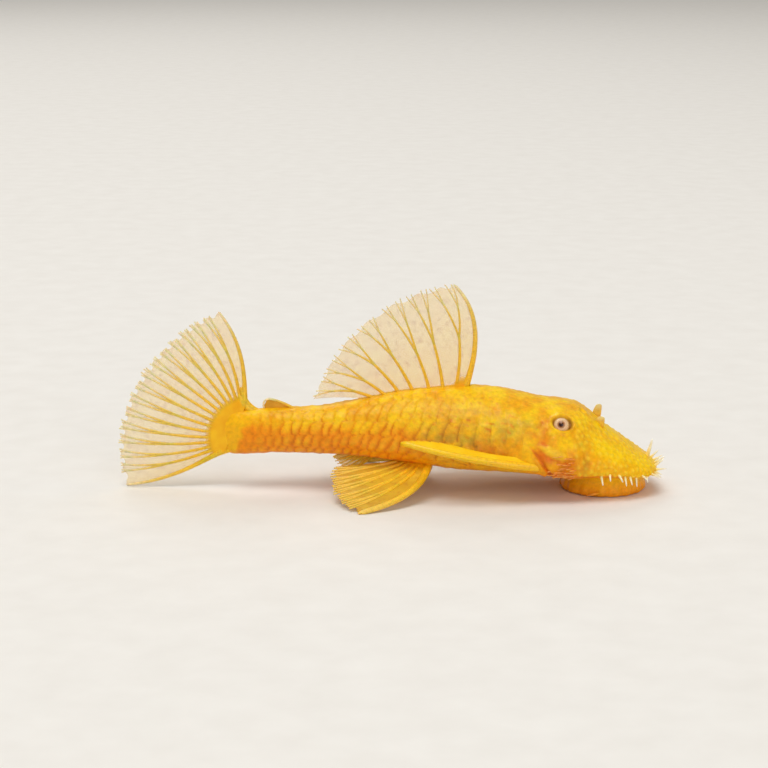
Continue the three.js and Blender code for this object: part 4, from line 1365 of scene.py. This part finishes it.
def jointed_ray(name, stops, ring_depth):
    """A ray's colour from root to tip, with rings where it is jointed."""
    material = root_to_tip(name, stops, 0.32, Subsurface_Weight=0.25, Subsurface_Scale=0.5 * MM,
                           Specular_IOR_Level=0.35, Coat_Weight=0.15, Coat_Roughness=0.2)
    tree = material.node_tree
    shader = tree.nodes["Principled BSDF"]
    colour = shader.inputs["Base Color"].links[0].from_socket
    turns = add_node(tree, "ShaderNodeMath", {0: "reach", 1: RAY_JOINTS * 2 * math.pi},
                     operation="MULTIPLY").outputs[0]
    wave = add_node(tree, "ShaderNodeMath", {0: turns}, operation="SINE").outputs[0]
    band = add_node(tree, "ShaderNodeMapRange", {0: wave, 1: 0.2, 2: 1.0, 3: 1.0,
                                                 4: 1 - ring_depth}).outputs[0]
    ringed = add_node(tree, "ShaderNodeVectorMath", {0: colour, 1: band}, operation="MULTIPLY").outputs[0]
    tree.links.new(ringed, shader.inputs["Base Color"])
    return material


golden_ray = jointed_ray("golden_ray", [(0.0, "#fcc41e"), (0.3, "#f6c42e"), (0.7, "#f2ce5a"),
                                        (1.0, "#f6e4b0")], 0.12)
fleshy_ray = jointed_ray("fleshy_ray", [(0.0, "#ffc20e"), (0.6, "#ffca2c"), (1.0, "#f8d058")], 0.06)
smooth_ray = jointed_ray("smooth_ray", [(0.0, "#ffc00e"), (0.6, "#ffc80f"), (1.0, "#ffd024")], 0.0)
print("rays:", golden_ray.name, fleshy_ray.name, smooth_ray.name)

# %% [markdown]
# The membrane is two layers of clear skin grown together, yellowish and faintly specked. It is seen
# through, so its alpha is low, and it is less clear near the body, where the skin is thicker. Glass would
# bend the light, which so thin a film doesn't do, so the shader's transmission stays off. The paired fins
# are fleshier, and their membranes cover more.

# %% Material: clear membrane
SPECK_MM = 1.3
CLOUD_MM = 3.5
SPECK_ALPHA = 0.07


def clear_membrane(name, clear, cloudy, root_alpha, margin_alpha, root_tint="#f6aa10", root_bright="#fec41c"):
    """A see-through membrane with two tints, and skin of two others over its root."""
    material, tree, shader = new_material(name, 0.3, Specular_IOR_Level=0.3, Coat_Weight=0.1,
                                          Coat_Roughness=0.2, IOR=1.36)
    place = add_node(tree, "ShaderNodeTexCoord").outputs["Object"]
    speck = add_node(tree, "ShaderNodeTexNoise", {"Vector": place, "Scale": 1 / (SPECK_MM * MM),
                                                  "Detail": 5.0, "Roughness": 0.6}).outputs[0]
    speck = add_node(tree, "ShaderNodeMapRange", {0: speck, 1: 0.5, 2: 0.75}).outputs[0]
    cloud = add_node(tree, "ShaderNodeTexNoise", {"Vector": place, "Scale": 1 / (CLOUD_MM * MM),
                                                  "Detail": 3.0}).outputs[0]
    cloud = add_node(tree, "ShaderNodeMapRange", {0: cloud, 1: 0.35, 2: 0.65}).outputs[0]
    colour = add_node(tree, "ShaderNodeMix", {0: cloud, 6: hex_colour(clear), 7: hex_colour(cloudy)},
                      data_type="RGBA").outputs[2]
    colour = add_node(tree, "ShaderNodeMix", {0: speck, 6: colour, 7: hex_colour("#e0a030")},
                      data_type="RGBA").outputs[2]
    skin = add_node(tree, "ShaderNodeMix", {0: cloud, 6: hex_colour(root_tint), 7: hex_colour(root_bright)},
                    data_type="RGBA").outputs[2]
    colour = add_node(tree, "ShaderNodeMix", {0: "flesh", 6: colour, 7: skin}, data_type="RGBA").outputs[2]
    tree.links.new(colour, shader.inputs["Base Color"])
    alpha = add_node(tree, "ShaderNodeMapRange", {0: "reach", 1: 0.1, 2: 0.8, 3: root_alpha,
                                                  4: margin_alpha}).outputs[0]
    spotted = add_node(tree, "ShaderNodeMath", {0: speck, 1: SPECK_ALPHA, 2: alpha},
                       operation="MULTIPLY_ADD", use_clamp=True).outputs[0]
    covered = add_node(tree, "ShaderNodeMath", {0: spotted, 1: "flesh"}, operation="MAXIMUM").outputs[0]
    tree.links.new(covered, shader.inputs["Alpha"])
    return material


fan_film = clear_membrane("fan_membrane", "#ffdb3c", "#fccc28", 0.34, 0.23)
tan_film = clear_membrane("tan_membrane", "#e6aa30", "#d0921e", 1.0, 1.0)
pelvic_film = clear_membrane("pelvic_membrane", "#ffd238", "#f6c02c", 0.85, 0.5)
fleshy_film = clear_membrane("fleshy_membrane", "#ffc60c", "#ffbe08", 1.0, 1.0, "#ffc608", "#ffd21c")
print("membranes:", fan_film.name, tan_film.name, pelvic_film.name, fleshy_film.name)

# %% [markdown]
# The dorsal fin stands over the middle of the back like a sail: one stout spine that bends backwards, and
# seven branched rays, the first upright and the last nearly lying on the back. Every fin is made alike,
# from the numbers that describe it: where its root and margin run, how it bows and sways, and how it
# branches.

# %% Dorsal fin
def make_fin(name, fan, ray_finish, film_finish, mirror=1):
    """The rods and the membrane of one fin, which stand for its solid. What meets the floor is flat there."""
    bones = [rods(name + "_spine", spine_curves(fan), 12)]
    if fan["rays"]:
        bones.append(rods(name + "_rays", ray_curves(fan), 8))
    select_only(*bones)
    if len(bones) > 1:
        bpy.ops.object.join()
    bone = named(name + "_bones")
    paint_reach(bone, fan)
    sheet = film(name + "_membrane", fan)
    for piece, finish in ((bone, ray_finish), (sheet, film_finish)):
        points = places(piece) / MM * [1, mirror, 1]
        points[:, 2] = np.maximum(points[:, 2], 0)
        set_places(piece, points)
        face_outwards(piece)
        finish_piece(piece, finish, "fin", name)


make_fin("dorsal_fin", {
    "root": [(16.2, 0, 21.6), (5, 0, 21.2), (-4.6, 0, 19.6)],
    "margin": [(13.6, 0, 45.2), (-9.5, 0, 42), (-17.4, 0, 19.9)],
    "bow": lambda u: (0.8 + 6 * np.maximum(0, 1 - 6 * u), 0, 1.2 + 3 * np.maximum(0, 1 - 6 * u)),
    "sway": lambda u, v: 0.7 * v * np.sin(5 * u + 1.5 * v),
    "flesh": lambda u: 0.045 + 0.06 * np.exp(-(((u - 0.07) / 0.05) ** 2)),
    "spine": 1.3,
    "rays": 7,
    "shares": [0.06, 0.18, 0.327, 0.498, 0.653, 0.81, 0.93],
    "split": 0.5,
    "spread": 0.3,
    "ray_radius": 0.38,
}, golden_ray, fan_film)

# %% [markdown]
# The tail fin is a broad paddle with a spine along each edge. Its fourteen rays leave a fleshy root side by
# side and fan out, and the margin runs obliquely, so that the lower lobe is the longer. Short stays, small
# spines that lie along the foot of each edge, round off the corner between the body and the fin.

# %% Caudal fin
make_fin("caudal_fin", {
    "root": [(-32.4, 0, 18.2), (-37, 0, 8.2)],
    "margin": [(-37.6, 0, 39.2), (-50.5, 0, 34.4), (-64.2, 0, 18.5), (-58.8, 0, 0.1)],
    "bow": lambda u: (2.6 - 3.2 * u + 1.6 * (1 - u) ** 6, 0, 0.7 - 4 * u + 1.6 * (1 - u) ** 6),
    "sway": lambda u, v: 0.8 * v * v * np.sin(6 * u + v),
    "flesh": lambda u: 0.1 + 0.16 * np.sin(np.pi * u),
    "spine": 1.1,
    "end_spine": True,
    "spine_flare": 0.6,
    "stays": [
        ([(-27.5, 0, 16.6), (-32.4, 0, 17.2), (-33.3, 0, 22.6)], 0.7, 0.5),
        ([(-29, 0, 16.5), (-32.4, 0, 17.4), (-33.7, 0, 21)], 1.0, 0.6),
        ([(-34, 0, 8.9), (-38.4, 0, 8.3), (-44, 0, 4.6)], 0.7, 0.5),
    ],
    "rays": 14,
    "split": 0.57,
    "second_split": 0.9,
    "spread": 0.22,
    "twig_spread": 0.07,
    "tip": 0.42,
    "ray_radius": 0.4,
}, golden_ray, fan_film)

# %% [markdown]
# Two small fins finish the middle line. The adipose fin is a low fleshy flap behind the dorsal, held by one
# spine and edged by a thin rod, and the anal fin is a short folded fan under the tail.

# %% Adipose and anal fins
make_fin("adipose_fin", {
    "root": [(-20.8, 0, 17.4), (-27.6, 0, 17)],
    "margin": [(-27.2, 0, 20.2), (-28, 0, 20), (-28.4, 0, 18)],
    "bow": lambda u: (0, 0, 0.8 - 0.8 * u),
    "flesh": lambda u: 0.2 - 0.3 * u,
    "spine": 0.75,
    "rays": 0,
    "stays": [([(-25.6, 0, 19.5), (-28.4, 0, 20.9), (-29, 0, 18.6), (-27.9, 0, 17.2)], 0.24, 0.2)],
}, golden_ray, tan_film)
make_fin("anal_fin", {
    "root": [(-2.2, 0, 8.2), (-6, 0, 8.7)],
    "margin": [(-9.4, 0, 3.7), (-11.6, 0, 4.4), (-12.6, 0, 6.4)],
    "bow": lambda u: (0, 0, -0.6 + 0.4 * u),
    "flesh": lambda u: 0.12 + 0 * u,
    "spine": 0.9,
    "rays": 4,
    "ray_radius": 0.26,
}, fleshy_ray, pelvic_film)

# %% [markdown]
# The paired fins are fleshier. The pectoral lies folded along the side as a bright yellow band behind a
# thick spine, and the pelvic spreads below the body with its tip on the floor, bearing some of the weight.
# Each is made for the fish's right and mirrored for its left.

# %% Pectoral and pelvic fins
pectoral = {
    "root": [(33.6, -13.6, 7.5), (32, -13, 8.7), (30.4, -12.6, 9.9)],
    "margin": [(1.5, -14.6, 13.6), (4.5, -12.9, 14.2), (13, -12.5, 12.6)],
    "bow": lambda u: (0.5, -4.4 + 1.4 * u, -1.2 + 0.6 * u),
    "flesh": lambda u: 1.2 + 0 * u,
    "pad": lambda u, v: 0.2 + 1.1 * np.sqrt(np.clip(1 - u, 0, 1)) * (1 - 0.3 * v),
    "spine": 1.9,
    "taper": 0.35,
    "spine_flare": 0.0,
    "rays": 6,
    "ray_radius": 0.24,
    "flare": 0.0,
}
pelvic = {
    "root": [(8.4, -6.4, 7.2), (6.4, -4.6, 7.4), (4, -3.4, 7.6)],
    "margin": [(-6.8, -22, 0.25), (-14.8, -16, 2), (-12.5, -5.2, 6)],
    "bow": lambda u: (1 + 5.7 * (1 - u) ** 2, -0.5 - 1.8 * (1 - u) ** 2, -0.3 - 1.3 * (1 - u) ** 2),
    "flesh": lambda u: 0.14 + 0.1 * u,
    "spine": 1.8,
    "taper": 0.35,
    "spine_flare": 0.3,
    "rays": 5,
    "split": 0.45,
    "second_split": 0.72,
    "spread": 0.26,
    "twig_spread": 0.12,
    "tip": 0.3,
    "ray_radius": 0.55,
}
for side, mirror in (("right", 1), ("left", -1)):
    make_fin("pectoral_fin_" + side, pectoral, smooth_ray, fleshy_film, mirror)
    make_fin("pelvic_fin_" + side, pelvic, fleshy_ray, pelvic_film, mirror)
